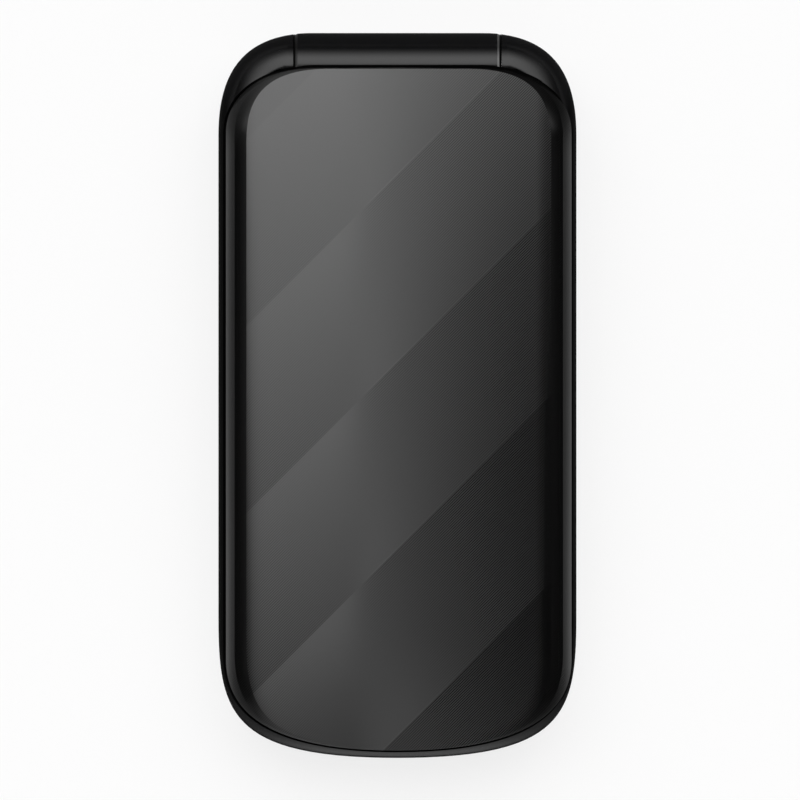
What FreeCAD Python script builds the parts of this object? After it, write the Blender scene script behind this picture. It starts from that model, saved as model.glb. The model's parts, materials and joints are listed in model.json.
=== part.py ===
"""A clamshell telephone, closed, lying on its back: a keypad half, a display half and the hinge between them.

The frame: X across the phone, +Y towards the hinge, +Z up out of the lid. The origin is the middle of the
face it lies on. Everything is in millimetres. Each named piece is written to parts/NAME.step.
"""

import FreeCAD
import Part
import os
from collections import namedtuple

V = FreeCAD.Vector

# ---------------------------------------------------------------- driving sizes: the outside
half_width = 26.0
half_length = 52.65
hinge_end_flat_inset = 14.0  # from the side to the hinge end's straight run
corner_pull = 0.68           # how square the hinge-end corners are, from 0 to 1
chin_side_pull = 0.68        # how straight the sides run into the chin
chin_pull = 0.935            # how flat the chin is across
hinge_corner_depth = 14.75   # how far the hinge-end corners reach down the sides
chin_corner_depth = 20.25    # how far the chin's curve reaches up the sides
base_thickness = 10.4
lid_gap = 0.3                # between the two halves when shut
lid_thickness = 7.7
cover_rise = 0.8             # the lid's cover stands this far above its frame
back_edge_radius = 3.5
frame_edge_radius = 4.5
rim_edge_radius = 0.6
wall = 1.4

# the hinge
barrel_radius = 5.0
barrel_end_inset = 11.1      # from the side to the barrel's end
barrel_end_gap = 0.2
barrel_clearance = 0.25      # lid round the fixed barrel
ear_clearance = 0.6          # base round the turning ears
seat_wall = 1.2
web_reach = 1.55             # the barrel's web, behind the axis
cam_unit_radius = 3.3
cam_unit_length = 15.4
cam_shaft_radius = 1.5
cam_shaft_length = 10.4
cam_shaft_grip = 4.7         # the length keyed into the ear
cam_shaft_flat = 1.05        # from the axis to the shaft's flat
bush_outer_radius = 2.5
bush_inner_radius = 1.7
bush_length = 8.0
bush_grip = 3.9
running_clearance = 0.05
seat_clearance = 0.03
ribbon_start = 4.0           # where the display's ribbon enters the barrel
ribbon_width = 5.0           # its width on the way down to the board
ribbon_thickness = 0.15
ribbon_roll_gap = 0.3        # the rolled ribbon inside the hollow pivot
ribbon_slot_back = 0.6       # the slot down to the board ends this far before the axis
ribbon_tail = 1.35           # the ribbon goes down this far before the axis
ribbon_way = 1.4             # the width of its way out of the ear
ribbon_way_height = 1.0

# the lid's cover
seam_inset = 0.9             # the rim between the cover and the outside, along the sides
chin_rim = 1.05
seam_gap = 0.3
seam_corner_depth = 9.65
seam_corner_pull = 0.59
seam_chin_depth = 13.3
seam_chin_side_pull = 0.45
seam_chin_pull = 0.848
seam_flat_inset = 0.25
cover_edge_height = 1.1      # the upright edge under the flank
flank_width = 3.1
face_corner_pull = 0.63
face_chin_depth = 15.6
face_chin_side_pull = 0.58
face_chin_pull = 0.91
face_flat_inset = 1.5
flank_knee = 0.35            # where the flank turns shallow, as a share of its width
flank_knee_drop = 0.7
cover_skin = 1.3
cover_wall = 2.0
lid_plate = 1.0
lid_plate_drop = 2.4         # from the frame's crest to the top of its plate
slack = 0.1
lid_wall = 1.6
face_thickness = 1.3

# the display
window_side = 5.3            # from the side of the lid
window_thickness = 0.85
window_recess = 0.95
window_clearance = 0.12
window_chin_margin = 7.25
window_hinge_margin = 21.15
window_corner = 2.4
view_side = 7.4
view_length = 50.0
lcd_side = 5.0
lcd_length = 58.0
lcd_thickness = 1.9
lcd_window_margin = 6.9      # from the window's chin end to the panel
ear_slot_length = 9.0
ear_slot_width = 1.3
view_corner = 0.8
lcd_corner = 0.6
earpiece_corner = 2.0
earpiece_size = (12.0, 6.4, 2.0)
earpiece_margin = 3.4        # from the window's chin end to the earpiece's middle
magnet_radius = 2.3
magnet_thickness = 1.4
magnet_side = 12.0           # from the side to its middle
lid_ribbon_width = 7.0
lid_ribbon_boss_gap = 0.6
bumper_radius = 2.1
bumper_depth = 0.5
bumper_proud = 0.26
bumper_edge = 0.2
lid_screw_radius = 0.7
lid_screw_head_radius = 1.25
lid_screw_head = 0.6
lid_screw_length = 2.9
lid_screw_drive = (0.4, 0.3)
lid_boss_radius = 2.4
lid_screws_chin = (10.0, 4.75)    # in from the side, and up from the chin
lid_screws_hinge = (6.2, 14.65)   # in from the side, and down from the axis

# the keypad half
shell_split = 7.6
fascia_bottom = 8.9
pocket_depth = 0.6
pocket_margin = 0.8
pocket_corner = 3.0
door_thickness = 1.1
door_gap = 0.05
door_end_gap = 0.15
deck_top = 3.2
hinge_zone = 40.65           # from the hinge end to the battery door
chin_zone = 9.25             # from the chin to the battery bay
back_skin = 1.6
rail_bay_gap = 1.2           # from the bay's wall to the rail's middle
rail_web = 0.6
rail_lip = 1.2
rail_lip_height = 0.55
rail_web_height = 0.85
rail_clearance = 0.15
rail_chin_margin = 6.65
grip_lines = 5
grip_pitch = 1.2
grip_depth = 0.3
grip_half_width = 7.0
grip_margin = 3.0            # from the door's end to the first grip line

# battery and board
battery_side = 8.8           # from the side of the base
battery_thickness = 3.65
battery_clearance = 0.5
battery_corner = 1.0
bay_wall = 0.8
bay_end_margin = 2.6         # from the bay's end to the door's end
bay_ceiling = 0.5
bay_top_clearance = 0.1
board_thickness = 0.8
board_inset = 2.0
board_bottom = 6.1
board_end = 6.65             # the board stops this far before the axis
contact_block = (10.0, 2.4)
contact_x = -9.0
contact_pins = 3
contact_pitch = 2.5
contact_pin = (0.8, 1.2)
contact_foot = 0.6           # the contact block's underside above the battery's
contact_pin_foot = 1.4
screw_side = 3.6             # in from the side
screw_radius = 0.8
screw_head_radius = 1.45
screw_head = 0.8
screw_drive = (0.5, 0.4)
screw_tip_cover = 0.4        # plastic left over the screw's tip
screw_hole_clearance = 0.03
boss_radius = 1.7
board_boss_gap = 0.2
board_rocker_gap = 0.8
shoulder_radius = 2.4
screw_chin_y = 18.65         # up from the chin
screw_middle_y = 49.65       # down from the hinge end
screw_upper_y = 25.65        # down from the hinge end

# keys
key_travel = 0.3
key_gap = 0.15
key_corner = 1.7
key_edge = 0.35
key_drop = 0.1               # key tops below the fascia's face
flange_width = 0.4
flange_thickness = 0.55
plunger_radius = 1.1
dome_height = 0.25
dome_radius = 2.0
dome_sheet_thickness = 0.1
mat_thickness = 0.25
mat_hole_gap = 0.4
mat_ring_gap = 0.3
pad_side = 6.0               # from the side to the keys
pad_chin_margin = 11.15
column_gap = 1.2
row_gap = 2.2
columns = 3
rows = 4
nav_setback = 22.15          # from the axis to the middle of the navigation ring
nav_size = 18.0
nav_corner = 5.0
nav_tilt_gap = 0.35          # over the ring's flange
nav_gap = 0.2
nav_stem_travel = 0.2
nav_stem_margin = 1.0
ok_size = 7.6
ok_corner = 2.2
side_key_gap = 1.6
clear_key_height = 3.8
clear_key_gap = 1.0
gimbal_outer_radius = 5.2
gimbal_inner_radius = 3.0
gimbal_thickness = 0.2
gimbal_gap = 0.2

# ports and side key
port_z = 4.8
usb_half_width = 3.75
usb_height = 2.6
usb_length = 5.6
usb_recess = 0.45
usb_wall = 0.3
usb_tongue = (5.6, 0.6, 3.6)
usb_tongue_lift = 0.1
usb_chamfer = 0.6
usb_back = 1.0
port_clearance = 0.25
jack_setback = 12.15         # from the axis down the side
jack_z = 4.2
jack_body = (13.0, 6.0, 4.3)
jack_bore_radius = 1.8
jack_bore_length = 14.0
jack_nose_radius = 2.5
jack_nose_clearance = 0.05
jack_face_inset = 0.1
rocker_middle = 38.15        # down from the hinge end
rocker_offset = 0.7          # above the ports' middle
rocker_half_length = 7.5
rocker_half_height = 1.4
rocker_face_inset = 0.05
rocker_clearance = 0.25
rocker_flange = 0.7
rocker_flange_thickness = 0.45
rocker_flange_gap = 0.35
rocker_edge = 0.3
side_switch_size = (1.6, 3.0, 2.2)
side_switch_reach = 4.5
mic_x = 9.0
mic_margin = 5.65
mic_radius = 2.0
mic_height = 1.4
mic_hole_radius = 0.5

# parts on the board
ribbon_socket = (2.4, 0.9)
ribbon_socket_gap = 0.4      # from the board's end
lid_sensor = (2.0, 1.6, 0.6)
lid_sensor_margin = 6.2      # up from the chin
chip_size = (2.2, 2.6, 0.9)
chip_count = 3
chip_pitch = 3.2
chip_x = -12.2
chip_margin = 6.0            # up from the chin
can_height = 1.7
can_wall = 0.2
can_corner = 0.8
can_gap = 1.0
side_can_side = 6.0
side_can_setback = 33.65     # down from the hinge end
side_can_length = 12.6
middle_can_setback = 17.9
middle_can_length = 8.6

# sound, camera and motor, measured from the axis or the middle line
speaker_side = 16.5          # from the side to its middle
speaker_setback = 25.35
speaker_radius = 7.0
speaker_height = 3.0
speaker_magnet_radius = 4.2
speaker_magnet_rise = 0.5
speaker_rim = 0.8
speaker_cone_depth = 0.3
mesh_thickness = 0.12
speaker_slots = 5
speaker_slot_pitch = 2.0
speaker_slot_size = (1.0, 9.0)
camera_side = 14.5
camera_setback = 16.15
camera_size = 8.0
camera_window_radius = 3.6
camera_window_thickness = 0.8
camera_window_recess = 0.15
camera_hole_radius = 2.6
camera_barrel_radius = 3.36
camera_barrel_height = 1.6
camera_mouth = (1.9, 1.0, 0.6)
motor_x = 3.5
motor_setback = 30.15
motor_radius = 4.0
motor_height = 2.7
motor_edge = 0.3
card_size = (14.0, 12.0)
card_sheet = 0.15
card_rail = 0.8
card_room = 0.65
card_view_margin = (2.5, 2.0)
card_chin_margin = 22.65
card_clearance = 0.3
plug_lift = 0.05
antenna_clearance = 0.4
antenna_start = 6.5          # before the axis
antenna_floor = 1.0
antenna_end_wall = 1.2
antenna_room_half_width = 13.0

# ---------------------------------------------------------------- levels and places that follow from them
hinge_end_flat = half_width - hinge_end_flat_inset
barrel_half_length = half_width - barrel_end_inset
window_half_width = half_width - window_side
view_half_width = half_width - view_side
lcd_half_width = half_width - lcd_side
magnet_x = half_width - magnet_side
battery_half_width = half_width - battery_side
screw_x = half_width - screw_side
pad_half_width = half_width - pad_side
speaker_x = speaker_side - half_width
camera_x = half_width - camera_side
base_top = base_thickness
lid_bottom = base_top + lid_gap
lid_top = lid_bottom + lid_thickness
frame_top = lid_top - cover_rise
hinge_y = half_length - barrel_radius
hinge_z = frame_top - barrel_radius
lid_split = frame_top - frame_edge_radius
plate_top = frame_top - lid_plate_drop
plate_bottom = plate_top - lid_plate
seat_radius = barrel_radius + ear_clearance
shelf_z = hinge_z - seat_radius
ear_start = barrel_half_length + barrel_end_gap
chin_y = -half_length
door_end = half_length - hinge_zone
bay_start = chin_y + chin_zone
bay_end = door_end - bay_end_margin
bay_half_width = battery_half_width + battery_clearance
rail_x = bay_half_width + bay_wall + rail_bay_gap
card_x = bay_half_width / 2
battery_bottom = door_thickness + slack + door_gap
bay_top = battery_bottom + battery_thickness + bay_top_clearance
board_top = board_bottom + board_thickness
dome_top = board_top + dome_sheet_thickness + dome_height
plunger_bottom = dome_top + key_travel + running_clearance
mat_bottom = plunger_bottom + running_clearance
mat_top = mat_bottom + mat_thickness
flange_top = fascia_bottom - running_clearance
flange_bottom = flange_top - flange_thickness
pocket_floor = base_top - pocket_depth
key_top = base_top - key_drop
wide = 4 * half_width        # longer than anything it cuts
tall = 4 * lid_top

nav_y = hinge_y - nav_setback
side_key_start = nav_size / 2 + side_key_gap
side_key_height = (nav_size - side_key_gap) / 2
clear_top = nav_y - nav_size / 2 - clear_key_gap
pad_top = clear_top - clear_key_height - clear_key_gap
pad_bottom = chin_y + pad_chin_margin
key_width = (2 * pad_half_width - (columns - 1) * column_gap) / columns
key_height = (pad_top - pad_bottom - (rows - 1) * row_gap) / rows
screw_places = [(side * screw_x, y) for y in
                (chin_y + screw_chin_y, half_length - screw_middle_y, half_length - screw_upper_y)
                for side in (-1, 1)]
lid_screw_places = [(side * x, y) for x, y in
                    ((half_width - lid_screws_chin[0], chin_y + lid_screws_chin[1]),
                     (half_width - lid_screws_hinge[0], hinge_y - lid_screws_hinge[1]))
                    for side in (-1, 1)]
rocker_y = half_length - rocker_middle
jack_y = hinge_y - jack_setback
jack_start = -half_width + wall + slack
rocker_x = half_width - wall
rocker_z = port_z + rocker_offset
rocker_back = rocker_x - rocker_flange_gap
speaker_y = hinge_y - speaker_setback
camera_y = hinge_y - camera_setback
motor_y = hinge_y - motor_setback
mic_y = chin_y + mic_margin
screw_seat = door_thickness + door_gap + screw_head + slack
nav_ring_bottom = mat_top + gimbal_gap
lid_solid_reach = barrel_radius + seat_wall + ear_clearance   # the lid is solid this far round the axis
window_start = chin_y + window_chin_margin
window_end = hinge_y - window_hinge_margin
lcd_start = window_start + lcd_window_margin
lcd_end = lcd_start + lcd_length
view_y = (lcd_start + lcd_end) / 2
earpiece_y = window_start + earpiece_margin
bush_start = ear_start + bush_grip - bush_length
bush_end = ear_start + bush_grip
ribbon_end = bush_end + ribbon_way - slack
ribbon_foot_z = shelf_z - seat_wall - slack - ribbon_thickness
ribbon_socket_y = hinge_y - board_end - ribbon_socket_gap


# ---------------------------------------------------------------- small tools
def box(x0, x1, y0, y1, z0, z1):
    return Part.makeBox(x1 - x0, y1 - y0, z1 - z0, V(x0, y0, z0))


def centred_box(x, y, width, length, z0, z1):
    return box(x - width / 2, x + width / 2, y - length / 2, y + length / 2, z0, z1)


def post(x, y, radius, z0, z1):
    return Part.makeCylinder(radius, z1 - z0, V(x, y, z0))


def along_hinge(radius, x0, x1):
    """A cylinder on the hinge axis."""
    return Part.makeCylinder(radius, x1 - x0, V(x0, hinge_y, hinge_z), V(1, 0, 0))


def rounded_plate(x, y, width, length, radius, z0, z1):
    """A plate whose four corners are quarter circles."""
    plate = centred_box(x, y, width, length, z0, z1)
    upright = [e for e in plate.Edges if abs(e.Vertexes[0].Point.z - e.Vertexes[-1].Point.z) > 1e-6]
    return plate.makeFillet(min(radius, 0.49 * min(width, length)), upright)


def edges_at(shape, z):
    """The edges of a shape that lie in the plane at height z."""
    return [e for e in shape.Edges if abs(e.BoundBox.ZMin - z) < 1e-5 and abs(e.BoundBox.ZMax - z) < 1e-5]


def both_sides(maker):
    """What maker(side) gives for the left side, -1, and the right side, 1."""
    return [maker(-1), maker(1)]


# ---------------------------------------------------------------- plan outlines
Plan = namedtuple("Plan", ["half_width", "hinge_end", "chin", "side_top", "side_bottom", "flat",
                           "corner_pull", "chin_side_pull", "chin_pull"])

outline = Plan(half_width, half_length, chin_y, half_length - hinge_corner_depth, chin_y + chin_corner_depth,
               hinge_end_flat, corner_pull, chin_side_pull, chin_pull)
seam = Plan(half_width - seam_inset, hinge_y, chin_y + chin_rim, hinge_y - seam_corner_depth,
            chin_y + chin_rim + seam_chin_depth, hinge_end_flat - seam_flat_inset,
            seam_corner_pull, seam_chin_side_pull, seam_chin_pull)
flat_face = Plan(seam.half_width - flank_width, seam.hinge_end, seam.chin, seam.side_top,
                 seam.chin + face_chin_depth, seam.flat - face_flat_inset,
                 face_corner_pull, face_chin_side_pull, face_chin_pull)


def inset(plan, by):
    """The same outline, smaller all round."""
    return plan._replace(half_width=plan.half_width - by, hinge_end=plan.hinge_end - by, chin=plan.chin + by)


def between(a, b, share):
    """The outline that lies that share of the way from a to b."""
    return Plan(*[p + (q - p) * share for p, q in zip(a, b)])


def bezier(*points):
    curve = Part.BezierCurve()
    curve.setPoles([V(*p) for p in points])
    return curve.toShape()


def plan_wire(plan, z):
    """A straight hinge end, full corners, straight sides, and one long curve each side to the chin."""
    w, end, chin, high, low, flat = plan[:6]
    corner_x = flat + plan.corner_pull * (w - flat)
    corner_y = high + plan.corner_pull * (end - high)
    chin_y0 = low - plan.chin_side_pull * (low - chin)
    chin_x = plan.chin_pull * w
    return Part.Wire([
        Part.makeLine(V(-flat, end, z), V(flat, end, z)),
        bezier((flat, end, z), (corner_x, end, z), (w, corner_y, z), (w, high, z)),
        Part.makeLine(V(w, high, z), V(w, low, z)),
        bezier((w, low, z), (w, chin_y0, z), (chin_x, chin, z), (0, chin, z)),
        bezier((0, chin, z), (-chin_x, chin, z), (-w, chin_y0, z), (-w, low, z)),
        Part.makeLine(V(-w, low, z), V(-w, high, z)),
        bezier((-w, high, z), (-w, corner_y, z), (-corner_x, end, z), (-flat, end, z)),
    ])


def slab(plan, z0, z1):
    """The outline as a plate from z0 to z1."""
    return Part.Face(plan_wire(plan, z0)).extrude(V(0, 0, z1 - z0))


# ---------------------------------------------------------------- the hinge's cuts
def centre_zone(half, y0, y1):
    """The band between the ears, from y0 to y1, at any height."""
    return box(-half, half, y0, y1, -tall, tall)


def behind_axis(z0):
    """All that lies behind the hinge axis, above z0."""
    return box(-wide, wide, hinge_y, wide, z0, tall)


def seat_cut():
    """Room for the turning ears, over the whole width: a trough round the axis, open behind it."""
    return along_hinge(seat_radius, -wide, wide).fuse(behind_axis(shelf_z))


# ---------------------------------------------------------------- the base's shells
def base_outside():
    """The keypad half as one block: rounded back edge, trough for the ears, barrel and its web."""
    block = slab(outline, 0, base_top)
    block = block.makeFillet(back_edge_radius, edges_at(block, 0))
    block = block.makeFillet(rim_edge_radius, edges_at(block, base_top))
    block = block.cut(seat_cut())
    web = box(-barrel_half_length, barrel_half_length, hinge_y - barrel_radius - slack,
              hinge_y + web_reach, shelf_z - seat_wall / 2, base_top)
    barrel = along_hinge(barrel_radius, -barrel_half_length, barrel_half_length)
    barrel = barrel.common(slab(outline, -tall, tall))
    return block.fuse([web, barrel])


def base_inside():
    """The space inside the keypad half, clear of the wall under the ears."""
    room = slab(inset(outline, wall), deck_top, fascia_bottom)
    upper = slab(inset(outline, wall), back_skin, deck_top)
    upper = upper.cut(box(-wide, wide, -wide, door_end + wall, -tall, tall))
    room = room.fuse(upper)
    room = room.cut(along_hinge(seat_radius + seat_wall, -wide, wide))
    return room.cut(behind_axis(shelf_z - seat_wall))


def bay_block():
    """The battery bay's walls and ceiling, before the bay is hollowed."""
    outer = bay_half_width + bay_wall
    return box(-outer, outer, bay_start - bay_wall, bay_end + bay_wall,
               door_thickness + door_gap, bay_top + bay_ceiling)


def bay_hollow():
    return box(-bay_half_width, bay_half_width, bay_start, bay_end, -1, bay_top)


def card_place(side):
    return side * card_x, chin_y + card_chin_margin


def card_window(side):
    x, y = card_place(side)
    width, length = card_size
    return centred_box(x, y, width + 2 * card_clearance, length + 2 * card_clearance,
                       bay_top - slack, bay_top + bay_ceiling + slack)


def rail(side, grow, y0, y1):
    """The door's T-shaped rail, or its groove where grow is the clearance."""
    x = side * rail_x
    z0 = door_thickness
    web_top = z0 + rail_web_height
    web = box(x - rail_web / 2 - grow, x + rail_web / 2 + grow, y0, y1, z0 - slack, web_top)
    lip = box(x - rail_lip / 2 - grow, x + rail_lip / 2 + grow, y0, y1,
              web_top - grow, web_top + rail_lip_height + grow)
    return web.fuse(lip)


def jack_nose_hole():
    return Part.makeCylinder(jack_nose_radius + jack_nose_clearance, 2 * wall + back_edge_radius,
                             V(-half_width - 1, jack_y, jack_z), V(1, 0, 0))


def usb_opening(grow):
    half = usb_half_width + grow
    return box(-half, half, chin_y - 1, chin_y + usb_recess + usb_length,
               port_z - usb_height / 2 - grow, port_z + usb_height / 2 + grow)


def rocker_block(x0, x1, grow):
    return box(x0, x1, rocker_y - rocker_half_length - grow, rocker_y + rocker_half_length + grow,
               rocker_z - rocker_half_height - grow, rocker_z + rocker_half_height + grow)


def screw_recess(x, y):
    return post(x, y, screw_head_radius + slack, -1, screw_seat)


def rear_housing():
    shell = base_outside().cut(base_inside())
    low = shell.common(box(-wide, wide, -wide, wide, -1, shell_split - seat_clearance))
    bosses = []
    for x, y in screw_places:
        bosses.append(post(x, y, boss_radius, deck_top - slack, shell_split - seat_clearance))
        bosses.append(post(x, y, shoulder_radius, back_skin, board_bottom - seat_clearance))
    inside_wall = slab(inset(outline, wall / 2), 0, tall)
    low = low.fuse([bay_block()] + [b.common(inside_wall) for b in bosses])
    cuts = [bay_hollow(), jack_nose_hole(), usb_opening(port_clearance),
            rocker_block(rocker_x - slack, wide, rocker_clearance),
            slab(outline, -1, door_thickness + door_gap).common(
                box(-wide, wide, -wide, door_end, -1, door_thickness + door_gap)),
            contact_window()]
    cuts += both_sides(lambda s: card_window(s))
    cuts += both_sides(lambda s: rail(s, rail_clearance, -wide, bay_end + rail_clearance))
    for x, y in screw_places:
        cuts.append(post(x, y, screw_radius + screw_hole_clearance, -1, tall))
        cuts.append(screw_recess(x, y))
    cuts += speaker_openings()
    cuts += [post(camera_x, camera_y, camera_window_radius + window_clearance, -1,
                  camera_window_recess + camera_window_thickness + seat_clearance),
             post(camera_x, camera_y, camera_hole_radius, -1, back_skin + slack)]
    low = low.cut(cuts)
    return low.cut(base_hinge_bores())


def speaker_openings():
    width, length = speaker_slot_size
    first = -(speaker_slots - 1) / 2
    return [rounded_plate(speaker_x + (first + n) * speaker_slot_pitch, speaker_y, width, length, width / 2,
                          -1, back_skin + slack) for n in range(speaker_slots)]


def base_hinge_bores():
    """The barrel's bores: the cam unit's seat on the left, the pivot and the ribbon's way on the right."""
    cam_seat = along_hinge(cam_unit_radius + seat_clearance, -barrel_half_length - 1,
                           -barrel_half_length + cam_unit_length + slack)
    pivot = along_hinge(bush_outer_radius + running_clearance, bush_start - slack, barrel_half_length + 1)
    ribbon = along_hinge(bush_inner_radius, ribbon_start, barrel_half_length)
    slot = box(ribbon_start, ribbon_start + ribbon_width, hinge_y - bush_inner_radius,
               hinge_y - ribbon_slot_back, shelf_z - seat_wall - slack, hinge_z)
    return cam_seat.fuse([pivot, ribbon, slot])


def key_aperture(x, y, width, length, radius, gap):
    return rounded_plate(x, y, width + 2 * gap, length + 2 * gap, radius + gap, fascia_bottom - 1, tall)


def side_key_place(side, upper):
    x = side * (side_key_start + pad_half_width) / 2
    return x, nav_y + upper * (nav_size - side_key_height) / 2


def pad_key_place(column, row):
    """Column and row count from the top left key."""
    x = (column - (columns - 1) / 2) * (key_width + column_gap)
    return x, pad_top - key_height / 2 - row * (key_height + row_gap)


def key_plan():
    """Every flat key's name, place and size."""
    names = ["key_1", "key_2", "key_3", "key_4", "key_5", "key_6",
             "key_7", "key_8", "key_9", "key_star", "key_0", "key_hash"]
    keys = [(name, *pad_key_place(n % columns, n // columns), key_width, key_height)
            for n, name in enumerate(names)]
    side_width = pad_half_width - side_key_start
    for name, side, upper in (("key_soft_left", -1, 1), ("key_soft_right", 1, 1),
                              ("key_call", -1, -1), ("key_end", 1, -1)):
        keys.append((name, *side_key_place(side, upper), side_width, side_key_height))
    keys.append(("key_clear", 0, clear_top - clear_key_height / 2, key_width, clear_key_height))
    return keys


def front_housing():
    shell = base_outside().cut(base_inside())
    high = shell.common(box(-wide, wide, -wide, wide, shell_split, tall))
    bosses = [post(x, y, boss_radius, shell_split, fascia_bottom + slack) for x, y in screw_places]
    high = high.fuse(bosses)
    pocket_top = nav_y + nav_size / 2 + pocket_margin
    pocket_base = pad_bottom - pocket_margin
    cuts = [rounded_plate(0, (pocket_top + pocket_base) / 2, 2 * (pad_half_width + pocket_margin),
                          pocket_top - pocket_base, pocket_corner, pocket_floor, tall)]
    cuts += [key_aperture(x, y, w, h, key_corner, key_gap) for _, x, y, w, h in key_plan()]
    cuts.append(key_aperture(0, nav_y, nav_size, nav_size, nav_corner, nav_gap))
    cuts += [post(x, y, screw_radius + screw_hole_clearance, shell_split - 1, base_top - screw_tip_cover)
             for x, y in screw_places]
    cuts += [post(mic_x, mic_y, mic_hole_radius, fascia_bottom - 1, tall), base_hinge_bores()]
    return high.cut(cuts)


def battery_cover():
    """The sliding back: the lowest slice of the base, on two T-shaped rails."""
    block = slab(outline, 0, base_top)
    block = block.makeFillet(back_edge_radius, edges_at(block, 0))
    door = block.common(box(-wide, wide, -wide, door_end - door_end_gap, -1, door_thickness))
    rails = both_sides(lambda s: rail(s, 0, chin_y + rail_chin_margin, bay_end))
    door = door.fuse(rails)
    first = door_end - door_end_gap - grip_margin
    lines = [rounded_plate(0, first - n * grip_pitch, 2 * grip_half_width, grip_pitch / 2, grip_pitch / 4,
                           -1, grip_depth) for n in range(grip_lines)]
    return door.cut(lines)


# ---------------------------------------------------------------- keys and what is under them
def flat_key(x, y, width, length):
    cap = rounded_plate(x, y, width, length, key_corner, flange_bottom, key_top)
    cap = cap.makeFillet(key_edge, edges_at(cap, key_top))
    flange = rounded_plate(x, y, width + 2 * flange_width, length + 2 * flange_width,
                           key_corner + flange_width, flange_bottom, flange_top)
    stem = post(x, y, plunger_radius, plunger_bottom, flange_bottom + slack)
    return cap.fuse([flange, stem])


def nav_ring():
    """The ring round the middle key: it tilts on the gimbal, with room under the fascia."""
    top = fascia_bottom - nav_tilt_gap
    ring = rounded_plate(0, nav_y, nav_size, nav_size, nav_corner, nav_ring_bottom, key_top)
    ring = ring.makeFillet(key_edge, edges_at(ring, key_top))
    flange = rounded_plate(0, nav_y, nav_size + 2 * flange_width, nav_size + 2 * flange_width,
                           nav_corner + flange_width, nav_ring_bottom, top)
    stems = [post(x, y, plunger_radius, dome_top + nav_stem_travel, nav_ring_bottom + slack)
             for x, y in ring_stem_places()]
    ring = ring.fuse([flange] + stems)
    hole = rounded_plate(0, nav_y, ok_size + 2 * nav_gap, ok_size + 2 * nav_gap, ok_corner + nav_gap, 0, tall)
    return ring.cut(hole)


def nav_gimbal():
    ring = post(0, nav_y, gimbal_outer_radius, mat_top - gimbal_thickness, mat_top)
    return ring.cut(post(0, nav_y, gimbal_inner_radius, 0, tall))


def ok_key():
    bottom = mat_top + gimbal_gap + key_travel + slack
    cap = rounded_plate(0, nav_y, ok_size, ok_size, ok_corner, bottom, key_top)
    cap = cap.makeFillet(key_edge, edges_at(cap, key_top))
    return cap.fuse(post(0, nav_y, plunger_radius, plunger_bottom, bottom + slack))


def ring_stem_places():
    reach = nav_size / 2 - plunger_radius - nav_stem_margin
    return [(0, nav_y + reach), (0, nav_y - reach), (-reach, nav_y), (reach, nav_y)]


def plunger_places():
    return [(x, y) for _, x, y, _, _ in key_plan()] + ring_stem_places() + [(0, nav_y)]


def keypad_mat():
    """A thin silicone sheet under the keys, with a hole for each plunger and for the ring's travel."""
    top = nav_y + nav_size / 2
    sheet = rounded_plate(0, (top + pad_bottom) / 2, 2 * pad_half_width, top - pad_bottom, key_corner,
                          mat_bottom, mat_top)
    holes = [post(x, y, plunger_radius + mat_hole_gap, 0, tall) for _, x, y, _, _ in key_plan()]
    ring_hole = nav_size + 2 * flange_width + 2 * mat_ring_gap
    holes.append(rounded_plate(0, nav_y, ring_hole, ring_hole, nav_corner, 0, tall))
    return sheet.cut(holes)


def dome_sheet():
    """The switch foil on the board, with one metal dome under each plunger."""
    top = nav_y + nav_size / 2
    foil = rounded_plate(0, (top + pad_bottom) / 2, 2 * pad_half_width, top - pad_bottom, key_corner,
                         board_top, board_top + dome_sheet_thickness)
    foil_top = board_top + dome_sheet_thickness
    domes = [Part.makeCone(dome_radius, dome_radius / 2, dome_height, V(x, y, foil_top))
             for x, y in plunger_places()]
    return foil.fuse(domes)


def board_cuts():
    """Room through the board for the screw bosses and the side key."""
    cuts = [post(x, y, boss_radius + board_boss_gap, 0, tall) for x, y in screw_places]
    reach = rocker_half_length + rocker_flange + board_rocker_gap
    cuts.append(box(rocker_back - rocker_flange_thickness - board_rocker_gap, wide,
                    rocker_y - reach, rocker_y + reach, 0, tall))
    return cuts


def main_board():
    board = slab(inset(outline, board_inset), board_bottom, board_top)
    board = board.common(box(-wide, wide, -wide, hinge_y - board_end, 0, tall))
    return board.cut(board_cuts())


def board_components():
    """Ribbon socket, lid sensor, side-key switches and a row of small chips, each soldered to the board."""
    length, height = ribbon_socket
    socket = box(ribbon_start, ribbon_start + ribbon_width, ribbon_socket_y - length, ribbon_socket_y,
                 board_bottom - height, board_bottom)
    width, length, height = lid_sensor
    sensor = centred_box(-magnet_x, chin_y + lid_sensor_margin, width, length, board_top, board_top + height)
    width, length, height = chip_size
    first = chip_x - (chip_count - 1) / 2 * chip_pitch
    chips = [centred_box(first + n * chip_pitch, chin_y + chip_margin, width, length,
                         board_bottom - height, board_bottom) for n in range(chip_count)]
    width, length, height = side_switch_size
    front = rocker_back - rocker_flange_thickness - rocker_flange_gap
    switches = [box(front - width, front, rocker_y + side * side_switch_reach - length / 2,
                    rocker_y + side * side_switch_reach + length / 2, board_bottom - height, board_bottom)
                for side in (-1, 1)]
    return Part.makeCompound([socket, sensor, *chips, *switches])


def can(x0, x1, setback, length):
    """A folded sheet-metal lid, open towards the board."""
    x, y = (x0 + x1) / 2, half_length - setback
    width = x1 - x0
    low = board_bottom - can_height
    outer = rounded_plate(x, y, width, length, can_corner, low, board_bottom)
    inner = rounded_plate(x, y, width - 2 * can_wall, length - 2 * can_wall, can_corner - can_wall,
                          low + can_wall, board_bottom)
    return outer.cut(inner)


def shield_cans():
    side = can(motor_x + motor_radius + can_gap, half_width - side_can_side, side_can_setback,
               side_can_length)
    middle = can(jack_start + jack_body[0] + can_gap, ribbon_start - can_gap, middle_can_setback,
                 middle_can_length)
    return Part.makeCompound([side, middle])


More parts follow.
